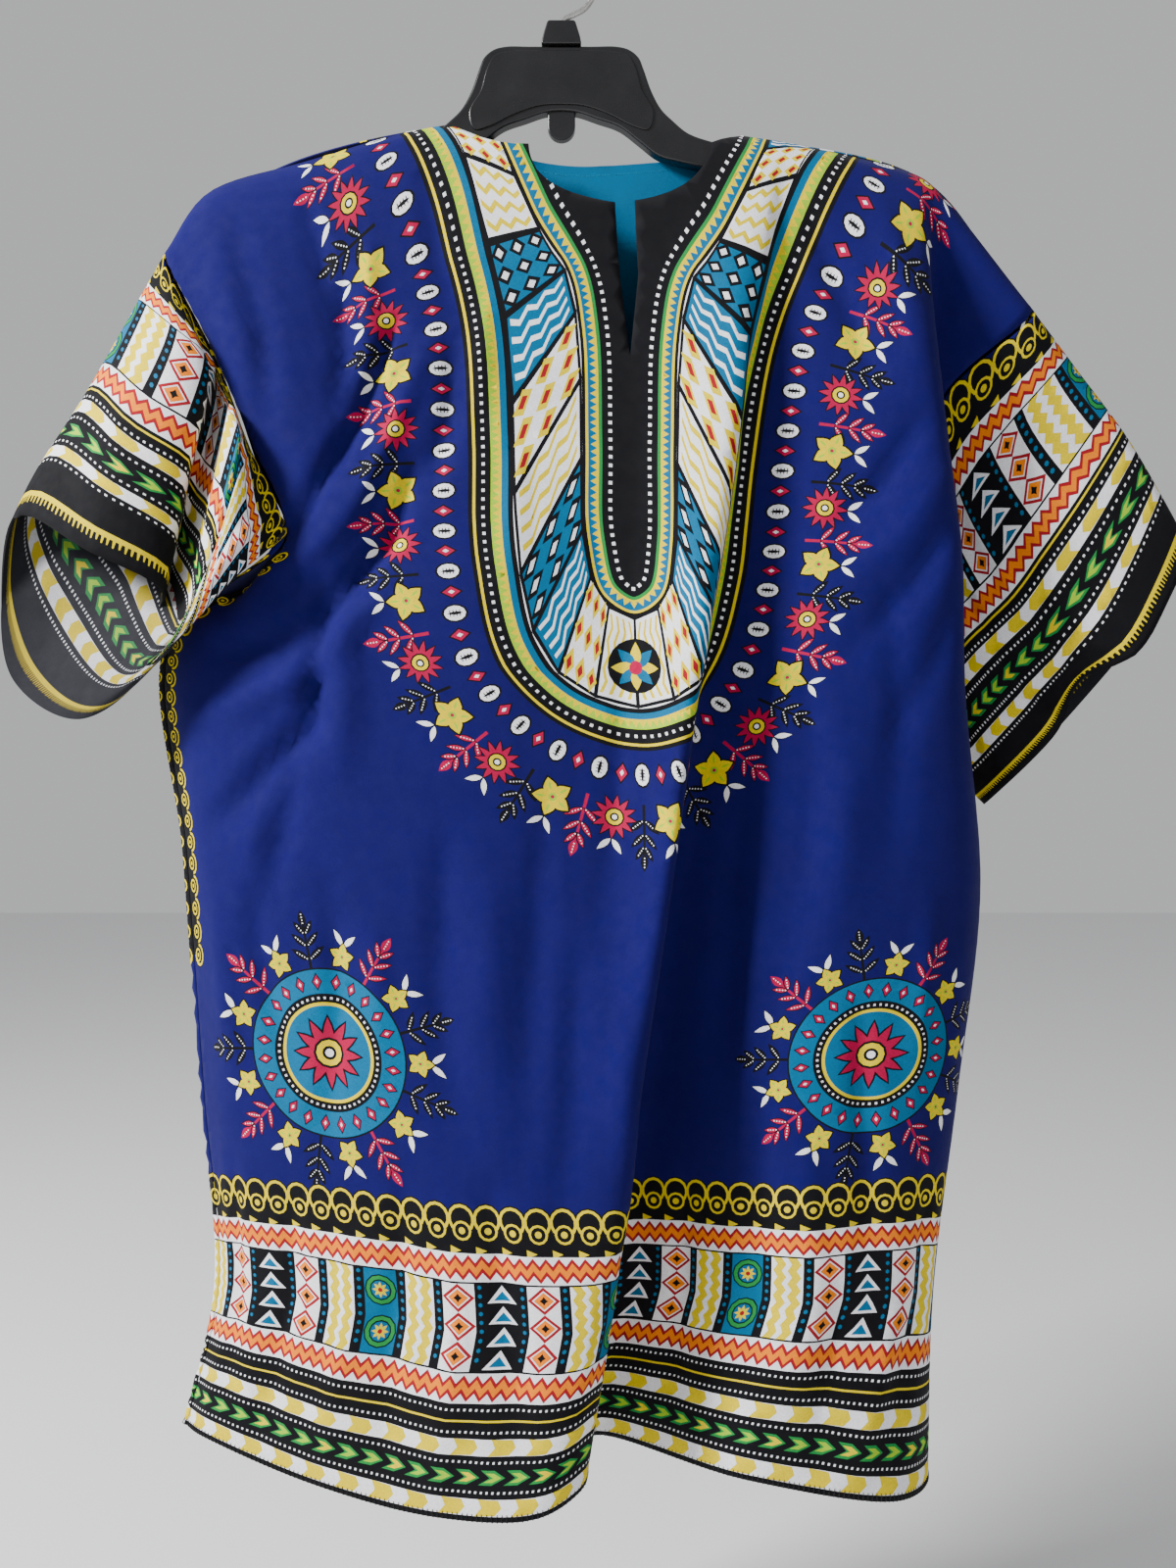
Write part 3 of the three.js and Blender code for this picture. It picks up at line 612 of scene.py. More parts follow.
def yoke_print(art):
    for distance, colour in ((0, BLACK), (-2.6, YELLOW), (-4.4, BLACK)):
        art.add(outline_from(YOKE, distance), colour)
    dots_on(art, outline_from(YOKE, -9), 5.4, 2.0, WHITE)
    art.add(outline_from(YOKE, -13.5), LIME)
    teeth_on(art, outline_from(YOKE, -18.5), 4.6, 4.0, YELLOW)
    art.add(outline_from(YOKE, -18.5), YELLOW)
    art.add(outline_from(YOKE, -20), TURQUOISE)
    art.add(outline_from(YOKE, -24), BLACK)
    art.add(outline_from(YOKE, -27), WHITE)
    yoke_field(art)
    art.add(outline_from(INNER), BLACK)
    art.add(outline_from(INNER, -2), YELLOW)
    art.add(outline_from(INNER, -3.6), TURQUOISE)
    teeth_on(art, outline_from(INNER, -8.6), 4.6, 3.6, YELLOW)
    art.add(outline_from(INNER, -8.6), YELLOW)
    art.add(outline_from(INNER, -10.0), GREEN)
    art.add(outline_from(INNER, -12.0), BLACK)
    dots_on(art, outline_from(INNER, -17), 5.4, 2.2, WHITE)


def lozenge(half_width, half_height):
    return np.array([(0, -half_height), (half_width, 0), (0, half_height), (-half_width, 0)])


def yoke_field(art):
    """Blocks down the field between the outer and the inner bands, in two figures by turns."""
    outer, inner = outline_from(YOKE, -27), outline_from(INNER)
    half = len(outer) // 2
    lengths = np.linspace(0.02, 1.0, 12)
    for side in (1, -1):
        for k, (start, end) in enumerate(zip(lengths[:-1], lengths[1:])):
            cells = []
            for share in (start, end):
                place = share * half
                cells.append([np.array([np.interp(place, np.arange(len(p)), p[:, axis]) for axis in (0, 1)])
                              * (side, 1) for p in (inner, outer)])
            block(art, cells[0][0], cells[0][1], cells[1][1], cells[1][0], k)
    art.placed(ring(17, 20), (0, 338), 0, BLACK)
    for k in range(8):
        art.placed(spun(leaf(15, 7.0), k * math.pi / 4), (0, 338), 0, TURQUOISE if k % 2 else YELLOW)
    art.placed(ring(4.2, 10), (0, 338), 0, CRIMSON)


def block(art, a, b, c, d, kind):
    """A four-sided block a, b, c, d with a black border and diamonds or chevrons."""
    def at(s, t):
        return (a * (1 - s) + b * s) * (1 - t) + (d * (1 - s) + c * s) * t

    def patch(points, colour):
        art.add([at(s, t) for s, t in points], colour)

    ground = (TURQUOISE, WHITE, WHITE, TURQUOISE)[kind % 4]
    patch([(0, 0), (1, 0), (1, 1), (0, 1)], BLACK)
    patch([(0.04, 0.05), (0.96, 0.05), (0.96, 0.95), (0.04, 0.95)], ground)
    if kind % 2:
        for row in range(3):
            for column in range(3):
                s, t = (column + 0.5) / 3, (row + 0.5) / 3
                ds, dt = 0.15, 0.15
                outer_colour = BLACK if ground is TURQUOISE else YELLOW
                patch([(s, t - dt), (s + ds, t), (s, t + dt), (s - ds, t)], outer_colour)
                patch([(s, t - dt / 2), (s + ds / 2, t), (s, t + dt / 2), (s - ds / 2, t)],
                      WHITE if ground is TURQUOISE else RED)
    else:
        for row in range(4):
            t = 0.08 + row * 0.22
            for column in range(3):
                s = 0.08 + column * 0.28
                patch([(s, t), (s + 0.14, t + 0.1), (s + 0.28, t), (s + 0.28, t + 0.08), (s + 0.14, t + 0.18),
                       (s, t + 0.08)], WHITE if ground is TURQUOISE else YELLOW)


def cowrie(art, origin, angle, size=1.0):
    """A small white shell with a dark slit and rim."""
    for radius, colour in ((5.6, BLACK), (4.6, WHITE)):
        art.placed(ring(radius, 12, 1.45), origin, angle, colour, size)
    art.placed(offset(leaf(9.6, 2.0, 5), 0, -4.8), origin, angle, BLACK, size)
    for step in (-3, -1, 1, 3):
        art.placed([(-1.9, step - 0.3), (1.9, step - 0.3), (1.9, step + 0.3), (-1.9, step + 0.3)],
                   origin, angle, BLACK, size)


def sun(art, origin, angle, size=1.0, rim=BLACK, rays=CRIMSON):
    """A disc of pointed rays with a dotted eye."""
    for k in range(12):
        art.placed(spun(leaf(15.5, 5.6, 4), k * math.pi / 6), origin, angle, rim, size)
    for k in range(12):
        art.placed(spun(leaf(14.2, 4.2, 4), k * math.pi / 6), origin, angle, rays, size)
    for radius, colour in ((6.2, BLACK), (5.2, YELLOW), (2.8, BLACK), (1.7, WHITE)):
        art.placed(ring(radius, 12), origin, angle, colour, size)


def bead(art, origin, angle, size=1.0):
    """A crimson lozenge with a dark rim and a pale heart."""
    for half, colour in ((1.0, BLACK), (0.78, CRIMSON), (0.28, WHITE)):
        art.placed(lozenge(4.4 * half, 7.2 * half), origin, angle, colour, size)


def ring_of_motifs(art, place, big_pitch=37.0, small_pitch=13.0):
    """Beads and shells in turn, then suns and flowers in turn, with sprigs and leaves between them."""
    for k, (origin, angle) in enumerate(stations(place(15), small_pitch)):
        (cowrie if k % 2 else bead)(art, origin, angle)
    big = stations(place(43), big_pitch)
    for origin, angle in big:
        out = (math.cos(angle), math.sin(angle))
        leaf_pair(art, (origin[0] + out[0] * 13, origin[1] + out[1] * 13), angle, 0.9)
    between = stations(place(46), big_pitch, 0.0)
    for k, (origin, angle) in enumerate(between[1:]):
        sprig(art, origin, angle, BLACK if k % 2 else CRIMSON, 0.92)
    for k, (origin, angle) in enumerate(big):
        if k % 2:
            flower(art, origin, angle, 1.2)
        else:
            sun(art, origin, angle, 0.95)


MEDALLION = (196.0, 590.0)


def medallion_print(art, side):
    """A whole round medallion that stands free over the hem bands."""
    centre = (side * MEDALLION[0], MEDALLION[1])

    def circle(radius):
        return np.array(centre) + ring(radius, 72)[::-1]

    for k in range(18):
        turn = k * math.pi / 9
        spot = np.array(centre) + 58 * np.array([math.cos(turn), math.sin(turn)])
        if k % 2:
            sprig(art, spot, turn, BLACK if k % 4 == 1 else CRIMSON, 0.86)
        else:
            leaf_pair(art, spot + 6 * np.array([math.cos(turn), math.sin(turn)]), turn, 0.9)
            flower(art, spot, turn, 0.8)
    for radius, colour in ((50, BLACK), (49, TURQUOISE)):
        art.add(circle(radius), colour)
    for k in range(24):
        turn = (k + 0.5) * math.pi / 12
        spot = np.array(centre) + 42 * np.array([math.cos(turn), math.sin(turn)])
        bead(art, spot, turn, 0.72)
    art.add(circle(35), BLACK)
    dots_on(art, np.concatenate([circle(32.5), circle(32.5)[:1]]), 3.6, 1.4, WHITE)
    art.add(circle(30), YELLOW)
    art.add(circle(28), TURQUOISE)
    sun(art, centre, 0, 1.5)


def panel_print(panel_u):
    """The print of the front or the back, which share one design; panel_u gives the side edges."""
    art = Print()
    art.rectangle(-PRINT_REACH, -PRINT_ABOVE, PRINT_REACH, LENGTH + PRINT_BELOW, BLUE)
    ring_of_motifs(art, lambda distance: outline_from(YOKE, distance))
    yoke_print(art)
    for edge, side in ((panel_u[:, 0], 1), (panel_u[:, -1], -1)):
        medallion_print(art, -side)
        band_side(art, edge, side)
    hem_top = LENGTH - sum(height for height, _ in HEM_BANDS)
    stacked(art, -PRINT_REACH, PRINT_REACH, hem_top, HEM_BANDS)
    return art


INSIDE_COLOURS = {band_zigzag: ORANGE, band_tiles: WHITE, band_blocks: YELLOW, band_arrows: GREEN}


def panel_inside():
    """The wrong side of the body, where only the ground and the bands' main colours come through."""
    art = Print()
    art.rectangle(-PRINT_REACH, -PRINT_ABOVE, PRINT_REACH, LENGTH + PRINT_BELOW, BLUE)
    v = LENGTH - sum(height for height, _ in HEM_BANDS)
    for height, painter in HEM_BANDS:
        colour = INSIDE_COLOURS.get(painter, BLACK)
        art.rectangle(-PRINT_REACH, v, PRINT_REACH, v + height, colour)
        v += height
    return art


def band_side(art, edge, side):
    """A narrow scalloped strip down the side seam, from the underarm to the medallion."""
    pitch = 13.0
    top, bottom = ARMHOLE + 20, 540.0
    levels = np.linspace(0, LENGTH, len(edge))

    def inside(v, distance):
        return (float(np.interp(v, levels, edge)) + side * distance, v)

    vs = np.arange(top, bottom, pitch)
    for colour, radius in ((BLACK, 7.2), (YELLOW, 6.4), (BLACK, 4.8)):
        for v in vs:
            art.placed(ring(radius, 12), inside(v, 8), 0, colour)
    art.add([inside(v, -60) for v in vs] + [inside(v, 8) for v in vs[::-1]], BLACK)
    for radius, colour in ((4.0, YELLOW), (2.8, BLACK), (1.2, YELLOW)):
        for v in vs:
            art.placed(ring(radius, 10), inside(v, 6), 0, colour)


def sleeve_print():
    art = Print()
    art.rectangle(-10, -10, SLEEVE_ROUND + 10, SLEEVE_LENGTH + 10, BLUE)
    stacked(art, -10, SLEEVE_ROUND + 10, 0, SLEEVE_BANDS)
    return art


# ---------------------------------------------------------------- printed panels as meshes
def counter_clockwise(points):
    x, y = points[:, 0], points[:, 1]
    area = (x * np.roll(y, -1) - y * np.roll(x, -1)).sum()
    return points if area > 0 else points[::-1]


def subdivided(points, step):
    """A closed outline with its long edges cut into steps, so that it can bend with the cloth."""
    ends = np.roll(points, -1, 0)
    counts = np.maximum(1, np.ceil(np.linalg.norm(ends - points, axis=1) / step)).astype(int)
    parts = [a + (b - a) * np.arange(n)[:, None] / n for a, b, n in zip(points, ends, counts)]
    return np.concatenate(parts)


def overlaps_box(points, low, high):
    return (points.min(0) < high).all() and (points.max(0) > low).all()


def printed_mesh(art, outline, hole=None, grid=GRID):
    """The outline filled with triangles that follow every shape's edge, with a colour for each."""
    outline = counter_clockwise(np.asarray(outline, float))
    low, high = outline.min(0), outline.max(0)
    shapes = [(outline, None)]
    for points, colour in art.shapes:
        if overlaps_box(points, low, high):
            shapes.append((counter_clockwise(points), colour))
    if hole is not None:
        shapes.append((counter_clockwise(np.asarray(hole, float)), "hole"))
    vertices, faces = [], []
    for points, _ in shapes:
        points = subdivided(points, grid * 1.1)
        faces.append(list(range(len(vertices), len(vertices) + len(points))))
        vertices.extend(Vector((float(u), float(v))) for u, v in points)
    us = np.arange(low[0] + grid / 2, high[0], grid)
    vs = np.arange(low[1] + grid / 2, high[1], grid)
    for k, v in enumerate(vs):
        vertices.extend(Vector((float(u), float(v))) for u in us + (grid / 2 if k % 2 else 0))
    flat, _, triangles, _, _, owners = delaunay_2d_cdt(vertices, [], faces, 0, 1e-4, True)
    kept, colours = [], []
    for triangle, owner in zip(triangles, owners):
        if 0 not in owner:
            continue
        top = max(owner)
        colour = shapes[top][1]
        if colour == "hole":
            continue
        kept.append(tuple(triangle))
        colours.append(BLUE if colour is None else colour)
    flat = np.array([(p.x, p.y) for p in flat])
    kept = np.array(kept)
    used, renumbered = np.unique(kept, return_inverse=True)
    return flat[used], renumbered.reshape(kept.shape), np.array(colours)


def make_object(name, points_mm, faces, materials, colours=None):
    """A smooth-shaded piece on the root body, with its print's face colours."""
    mesh = bpy.data.meshes.new(name)
    mesh.from_pydata((np.asarray(points_mm) * MM).tolist(), [], [tuple(f) for f in faces])
    mesh.polygons.foreach_set("use_smooth", [True] * len(mesh.polygons))
    if colours is not None:
        layer = mesh.color_attributes.new("Print", "FLOAT_COLOR", "CORNER")
        sizes = np.array([len(f) for f in faces])
        rgba = np.concatenate([np.asarray(colours), np.ones((len(colours), 1))], 1)
        layer.data.foreach_set("color", np.repeat(rgba, sizes, axis=0).ravel())
    mesh.update()
    made = bpy.data.objects.new(name, mesh)
    bpy.context.scene.collection.objects.link(made)
    for entry in materials:
        mesh.materials.append(entry)
    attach(made, "root")
    return made


# ---------------------------------------------------------------- openings in the panels
def bezier(p0, p1, p2, p3, steps=14):
    t = np.linspace(0, 1, steps + 1)[:, None]
    p0, p1, p2, p3 = (np.array(p, float) for p in (p0, p1, p2, p3))
    return p0 * (1 - t) ** 3 + 3 * p1 * t * (1 - t) ** 2 + 3 * p2 * t**2 * (1 - t) + p3 * t**3


FRONT_NECK = np.concatenate([
    [(-73, -106), (-62, -113)],
    bezier((-50, -119), (-40, -123), (-30, -124), (-20, -124), 6)[:-1],
    bezier((-20, -124), (-19, -146), (-2, -156), (33, -162)),
    [(36, -208), (42, -258), (47, -208)],
    bezier((45, -161), (74, -157), (88, -146), (93, -122)),
    [(104, -117), (112, -114)],
])
BACK_NECK = np.concatenate([
    [(-73, -106)],
    bezier((-20, -124), (-4, -128), (12, -129), (24, -128), 8),
    bezier((24, -128), (48, -127), (68, -125), (88, -123), 8)[1:],
    [(112, -114)],
])


def flat_of(surface, u_of, x, z, first, last):
    """The flat point of the surface that lies straight behind (x, z), among columns first..last."""
    part = surface[:, first : last + 1]
    error = (part[:, :, 0] - x) ** 2 + (part[:, :, 2] - z) ** 2
    i, j = np.unravel_index(int(np.argmin(error)), error.shape)
    j += first
    i0, j0 = min(max(i, 1), LAYERS - 1), min(max(j, 1), surface.shape[1] - 2)
    down = (surface[i0 + 1, j0] - surface[i0 - 1, j0])[[0, 2]] / 2
    across = (surface[i0, j0 + 1] - surface[i0, j0 - 1])[[0, 2]] / 2
    wanted = np.array([x, z]) - surface[i, j][[0, 2]]
    di, dj = np.linalg.solve(np.stack([down, across], 1), wanted)
    v = (i + di) * LENGTH / LAYERS
    u = u_of[i, j] + dj * (u_of[i0, j0 + 1] - u_of[i0, j0 - 1]) / 2
    return u, v


def hole_in(surface, u_of, outline, first, last):
    """A neck outline laid flat, closed above the shoulder line."""
    points = [flat_of(surface, u_of, x, z, first, last) for x, z in outline]
    return np.array([(points[0][0], -40), *points, (points[-1][0], -40)])


front_hole = hole_in(front_surface, front_u, FRONT_NECK, 2 * DENSE, 8 * DENSE)
back_hole = hole_in(back_surface, back_u, BACK_NECK, DENSE, 7 * DENSE)


def panel_outline(u_of):
    """The flat outline of a panel whose side edges wander with its levels."""
    keep = np.arange(0, LAYERS + 1, 3)
    levels = keep * LENGTH / LAYERS
    right = np.stack([u_of[keep, -1], levels], 1)
    left = np.stack([u_of[keep, 0], levels], 1)[::-1]
    return np.concatenate([right, left])


# ---------------------------------------------------------------- sleeves
def armhole_ring(round_places, last):
    """Points on the armhole seam, down the front edge and up the back one."""
    ring_points = []
    for place in round_places:
        level = ARMHOLE * (2 * place if place < 0.5 else 2 - 2 * place)
        surface = front_surface if place <= 0.5 else back_surface
        tip, out = along_edge(surface, level, last)
        ring_points.append(tip + out * ARMHOLE_LIFT)
    return np.array(ring_points)


def sleeve_surface(stations_by_w, last):
    places = np.linspace(0, 1, 8 * DENSE + 1)
    rows = [armhole_ring(places, last)]
    share = np.interp(places, SLEEVE_STATIONS, np.arange(9) / 8)
    share[-1] = 0.0
    for row in stations_by_w:
        rows.append(centripetal(row[1:], share, closed=True))
    levels = [0, *(row[0] for row in stations_by_w)]
    return skin(rows, levels, 60)


right_sleeve = sleeve_surface(SLEEVE_WEARER_RIGHT, False)
left_sleeve = sleeve_surface(SLEEVE_WEARER_LEFT, True)


def round_columns(surface):
    """Flat u round a sleeve, the same at every ring: 0 at the top, half way at the underarm."""
    u = np.linspace(0, SLEEVE_ROUND, surface.shape[1])
    return np.repeat(u[None], len(surface), axis=0)


# ---------------------------------------------------------------- creases, in millimetres
def crease(u, v, path, width, depth):
    """A soft crease along a path, deepest past its middle: a negative depth is a valley."""
    path = np.array(path, float)
    starts, ends = path[:-1], path[1:]
    lengths = np.linalg.norm(ends - starts, axis=1)
    before = np.concatenate([[0], np.cumsum(lengths)])
    nearest = np.full(len(u), 1e9)
    place = np.zeros(len(u))
    for start, end, length, offset_so_far in zip(starts, ends, lengths, before):
        along = (end - start) / length
        s = np.clip((u - start[0]) * along[0] + (v - start[1]) * along[1], 0, length)
        gap = np.hypot(u - start[0] - s * along[0], v - start[1] - s * along[1])
        closer = gap < nearest
        nearest = np.where(closer, gap, nearest)
        place = np.where(closer, (offset_so_far + s) / before[-1], place)
    swell = np.sin(math.pi * place**0.85) ** 0.8
    return depth * swell * np.exp(-((nearest / (width * (0.62 + 0.45 * place))) ** 2))


def creased(u, v, folds):
    total = np.zeros_like(u)
    for fold in folds:
        total = total + crease(u, v, *fold)
    return total


# ---------------------------------------------------------------- materials
class Nodes:
    """A material's nodes, made in short calls."""

    def __init__(self, name):
        self.material = bpy.data.materials.new(name)
        self.material.use_nodes = True
        self.tree = self.material.node_tree
        self.bsdf = self.tree.nodes["Principled BSDF"]

    def node(self, kind, **inputs):
        made = self.tree.nodes.new(kind)
        for key, value in inputs.items():
            socket = made.inputs[key.replace("_", " ")]
            if isinstance(value, bpy.types.NodeSocket):
                self.tree.links.new(value, socket)
            else:
                socket.default_value = value
        return made

    def link(self, source, target):
        self.tree.links.new(source, target)

    def object_point(self):
        return self.node("ShaderNodeTexCoord").outputs["Object"]

    def noise(self, scale, detail=3.0, roughness=0.55, vector=None):
        made = self.node("ShaderNodeTexNoise", Scale=scale, Detail=detail, Roughness=roughness)
        self.link(vector or self.object_point(), made.inputs["Vector"])
        return made.outputs["Fac"]

    def ranged(self, value, low, high, to_low, to_high):
        made = self.node("ShaderNodeMapRange", Value=value)
        for name, number in zip(("From Min", "From Max", "To Min", "To Max"), (low, high, to_low, to_high)):
            made.inputs[name].default_value = number
        return made.outputs["Result"]

    def scaled(self, colour, value):
        made = self.node("ShaderNodeMix")
        made.data_type = "RGBA"
        made.blend_type = "MULTIPLY"
        made.inputs[0].default_value = 1.0
        self.link(colour, made.inputs[6])
        self.link(value, made.inputs[7])
        return made.outputs[2]

    def math(self, operation, a, b=0.0):
        made = self.node("ShaderNodeMath")
        made.operation = operation
        for k, value in enumerate((a, b)):
            if isinstance(value, bpy.types.NodeSocket):
                self.link(value, made.inputs[k])
            else:
                made.inputs[k].default_value = value
        return made.outputs[0]

    def bump(self, height, strength, distance):
        made = self.node("ShaderNodeBump", Height=height, Strength=strength, Distance=distance)
        self.link(made.outputs["Normal"], self.bsdf.inputs["Normal"])


WEAVE_SCALE = 520.0  # a thread every 0.6 mm


def cotton(name, printed, plain=(1, 1, 1), fade=1.0, sheen=0.03):
    """Plain-woven cotton: fine threads, slubs and a little uneven dye."""
    made = Nodes(name)
    point = made.object_point()
    if printed:
        colour = made.node("ShaderNodeVertexColor")
        colour.layer_name = "Print"
        colour = colour.outputs["Color"]
    else:
        base = made.node("ShaderNodeRGB")
        base.outputs[0].default_value = (*plain, 1)
        colour = base.outputs[0]
    if fade < 1.0:
        faded = made.node("ShaderNodeMix")
        faded.data_type = "RGBA"
        faded.inputs[0].default_value = 1 - fade
        made.link(colour, faded.inputs[6])
        faded.inputs[7].default_value = (0.025, 0.026, 0.032, 1)
        colour = faded.outputs[2]
    dye = made.ranged(made.noise(34.0, 4.0, 0.6, point), 0.25, 0.75, 0.9, 1.06)
    threads = made.ranged(made.noise(900.0, 2.0, 0.5, point), 0.3, 0.7, 0.9, 1.08)
    colour = made.scaled(made.scaled(colour, dye), threads)
    made.link(colour, made.bsdf.inputs["Base Color"])
    waves = []
    for direction in ("X", "Z"):
        wave = made.node("ShaderNodeTexWave", Scale=WEAVE_SCALE, Distortion=0.3)
        wave.bands_direction = direction
        made.link(point, wave.inputs["Vector"])
        waves.append(wave.outputs["Fac"])
    weave = made.math("ADD", waves[0], waves[1])
    slub = made.math("MULTIPLY", made.noise(60.0, 5.0, 0.65, point), 1.6)
    made.bump(made.math("ADD", weave, slub), 0.28, 0.0005)
    rough = made.ranged(made.noise(120.0, 2.0, 0.5, point), 0.3, 0.7, 0.72, 0.86)
    made.link(rough, made.bsdf.inputs["Roughness"])
    made.bsdf.inputs["Sheen Weight"].default_value = sheen
    made.bsdf.inputs["Sheen Roughness"].default_value = 0.45
    made.bsdf.inputs["Specular IOR Level"].default_value = 0.1
    return made.material


def gloss_plastic(name):
    made = Nodes(name)
    point = made.object_point()
    tone = made.ranged(made.noise(46.0, 3.0, 0.5, point), 0.3, 0.7, 0.8, 1.2)
    base = made.node("ShaderNodeRGB")
    base.outputs[0].default_value = (0.0075, 0.0075, 0.0085, 1)
    made.link(made.scaled(base.outputs[0], tone), made.bsdf.inputs["Base Color"])
    stretched = made.node("ShaderNodeMapping", Scale=(1.0, 1.0, 9.0))
    made.link(point, stretched.inputs["Vector"])
    fine = made.ranged(made.noise(260.0, 2.0, 0.5, stretched.outputs["Vector"]), 0.66, 0.72, 0.0, 1.0)
    dust = made.ranged(made.noise(420.0, 4.0, 0.7, point), 0.6, 0.8, 0.0, 1.0)
    rough = made.math("ADD", made.ranged(made.noise(30.0, 3.0, 0.6, point), 0.3, 0.7, 0.2, 0.34),
                      made.math("MULTIPLY", made.math("ADD", fine, dust), 0.12))
    made.link(rough, made.bsdf.inputs["Roughness"])
    made.bump(made.math("ADD", made.noise(90.0, 3.0, 0.6, point), fine), 0.04, 0.0003)
    return made.material


def steel(name):
    made = Nodes(name)
    point = made.object_point()
    tone = made.ranged(made.noise(160.0, 4.0, 0.6, point), 0.3, 0.7, 0.75, 1.1)
    base = made.node("ShaderNodeRGB")
    base.outputs[0].default_value = (0.56, 0.55, 0.53, 1)
    made.link(made.scaled(base.outputs[0], tone), made.bsdf.inputs["Base Color"])
    made.bsdf.inputs["Metallic"].default_value = 1.0
    drawn = made.noise(900.0, 2.0, 0.5, point)
    made.link(made.ranged(drawn, 0.3, 0.7, 0.24, 0.42), made.bsdf.inputs["Roughness"])
    made.bump(drawn, 0.12, 0.0003)
    return made.material


PRINTED = cotton("Printed cotton", True)
WRONG_SIDE = cotton("Printed cotton wrong side", True, fade=0.5)
PLAIN_TURQUOISE = cotton("Turquoise cotton", False, plain=TURQUOISE)
PLASTIC = gloss_plastic("Black plastic")
STEEL = steel("Steel wire")
THREAD_BLACK = cotton("Black thread", False, plain=linear(18, 18, 20), sheen=0.2)
THREAD_TURQUOISE = cotton("Turquoise thread", False, plain=linear(16, 120, 160), sheen=0.2)


# ---------------------------------------------------------------- the garment
def laid(surface, u_of, flat, length, folds, flip, lift):
    """Flat points carried to where the cloth hangs, creased, and lifted off its face."""
    normal = face_normals(surface) * (-1 if flip else 1)
    side = unit(carried(normal, u_of, flat, length))
    depth = creased(flat[:, 0], flat[:, 1], folds) + lift
    return carried(surface, u_of, flat, length) + side * depth[:, None]


def boundary(faces):
    """The directed edges that only one face uses."""
    edges = np.concatenate([faces[:, [0, 1]], faces[:, [1, 2]], faces[:, [2, 0]]])
    _, first, uses = np.unique(np.sort(edges, axis=1), axis=0, return_index=True, return_counts=True)
    return edges[first[uses == 1]]


def garment_piece(name, node, surface, u_of, outline, length, folds, art, inside_art, hole=None,
                  flip=False, lift=0.0, material=PRINTED, inside_material=WRONG_SIDE):
    """A panel or sleeve: the printed side, the wrong side a thickness behind it, and the cut edge."""
    place = (surface, u_of)
    flat, faces, colours = printed_mesh(art, outline, hole)
    inner_flat, inner_faces, inner_colours = printed_mesh(inside_art, outline, hole, INSIDE_GRID)
    if not flip:
        faces = faces[:, ::-1]
        inner_faces = inner_faces[:, ::-1]
    rim = boundary(faces)
    rim_ids, rim_edges = np.unique(rim, return_inverse=True)
    rim_edges = rim_edges.reshape(rim.shape)
    outer = laid(*place, flat, length, folds, flip, lift)
    behind = laid(*place, flat[rim_ids], length, folds, flip, lift - CLOTH)
    inner = laid(*place, inner_flat, length, folds, flip, lift - CLOTH)
    start = len(outer)
    quads = [(b, a, start + ra, start + rb) for (a, b), (ra, rb) in zip(rim, rim_edges)]
    edge_colour = {}
    for face, colour in zip(faces, colours):
        for vertex in face:
            edge_colour[int(vertex)] = colour
    rim_colours = np.array([edge_colour[int(a)] for a, _ in rim])
    made = make_object(name, np.concatenate([outer, behind]), [tuple(f) for f in faces] + quads,
                       [material], np.concatenate([colours, rim_colours]))
    make_object(name + "_wrong_side", inner, inner_faces[:, ::-1], [inside_material], inner_colours)
    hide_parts(node)
    return made


body_print = panel_print(front_u)
back_print = panel_print(back_u)
inside_print = panel_inside()

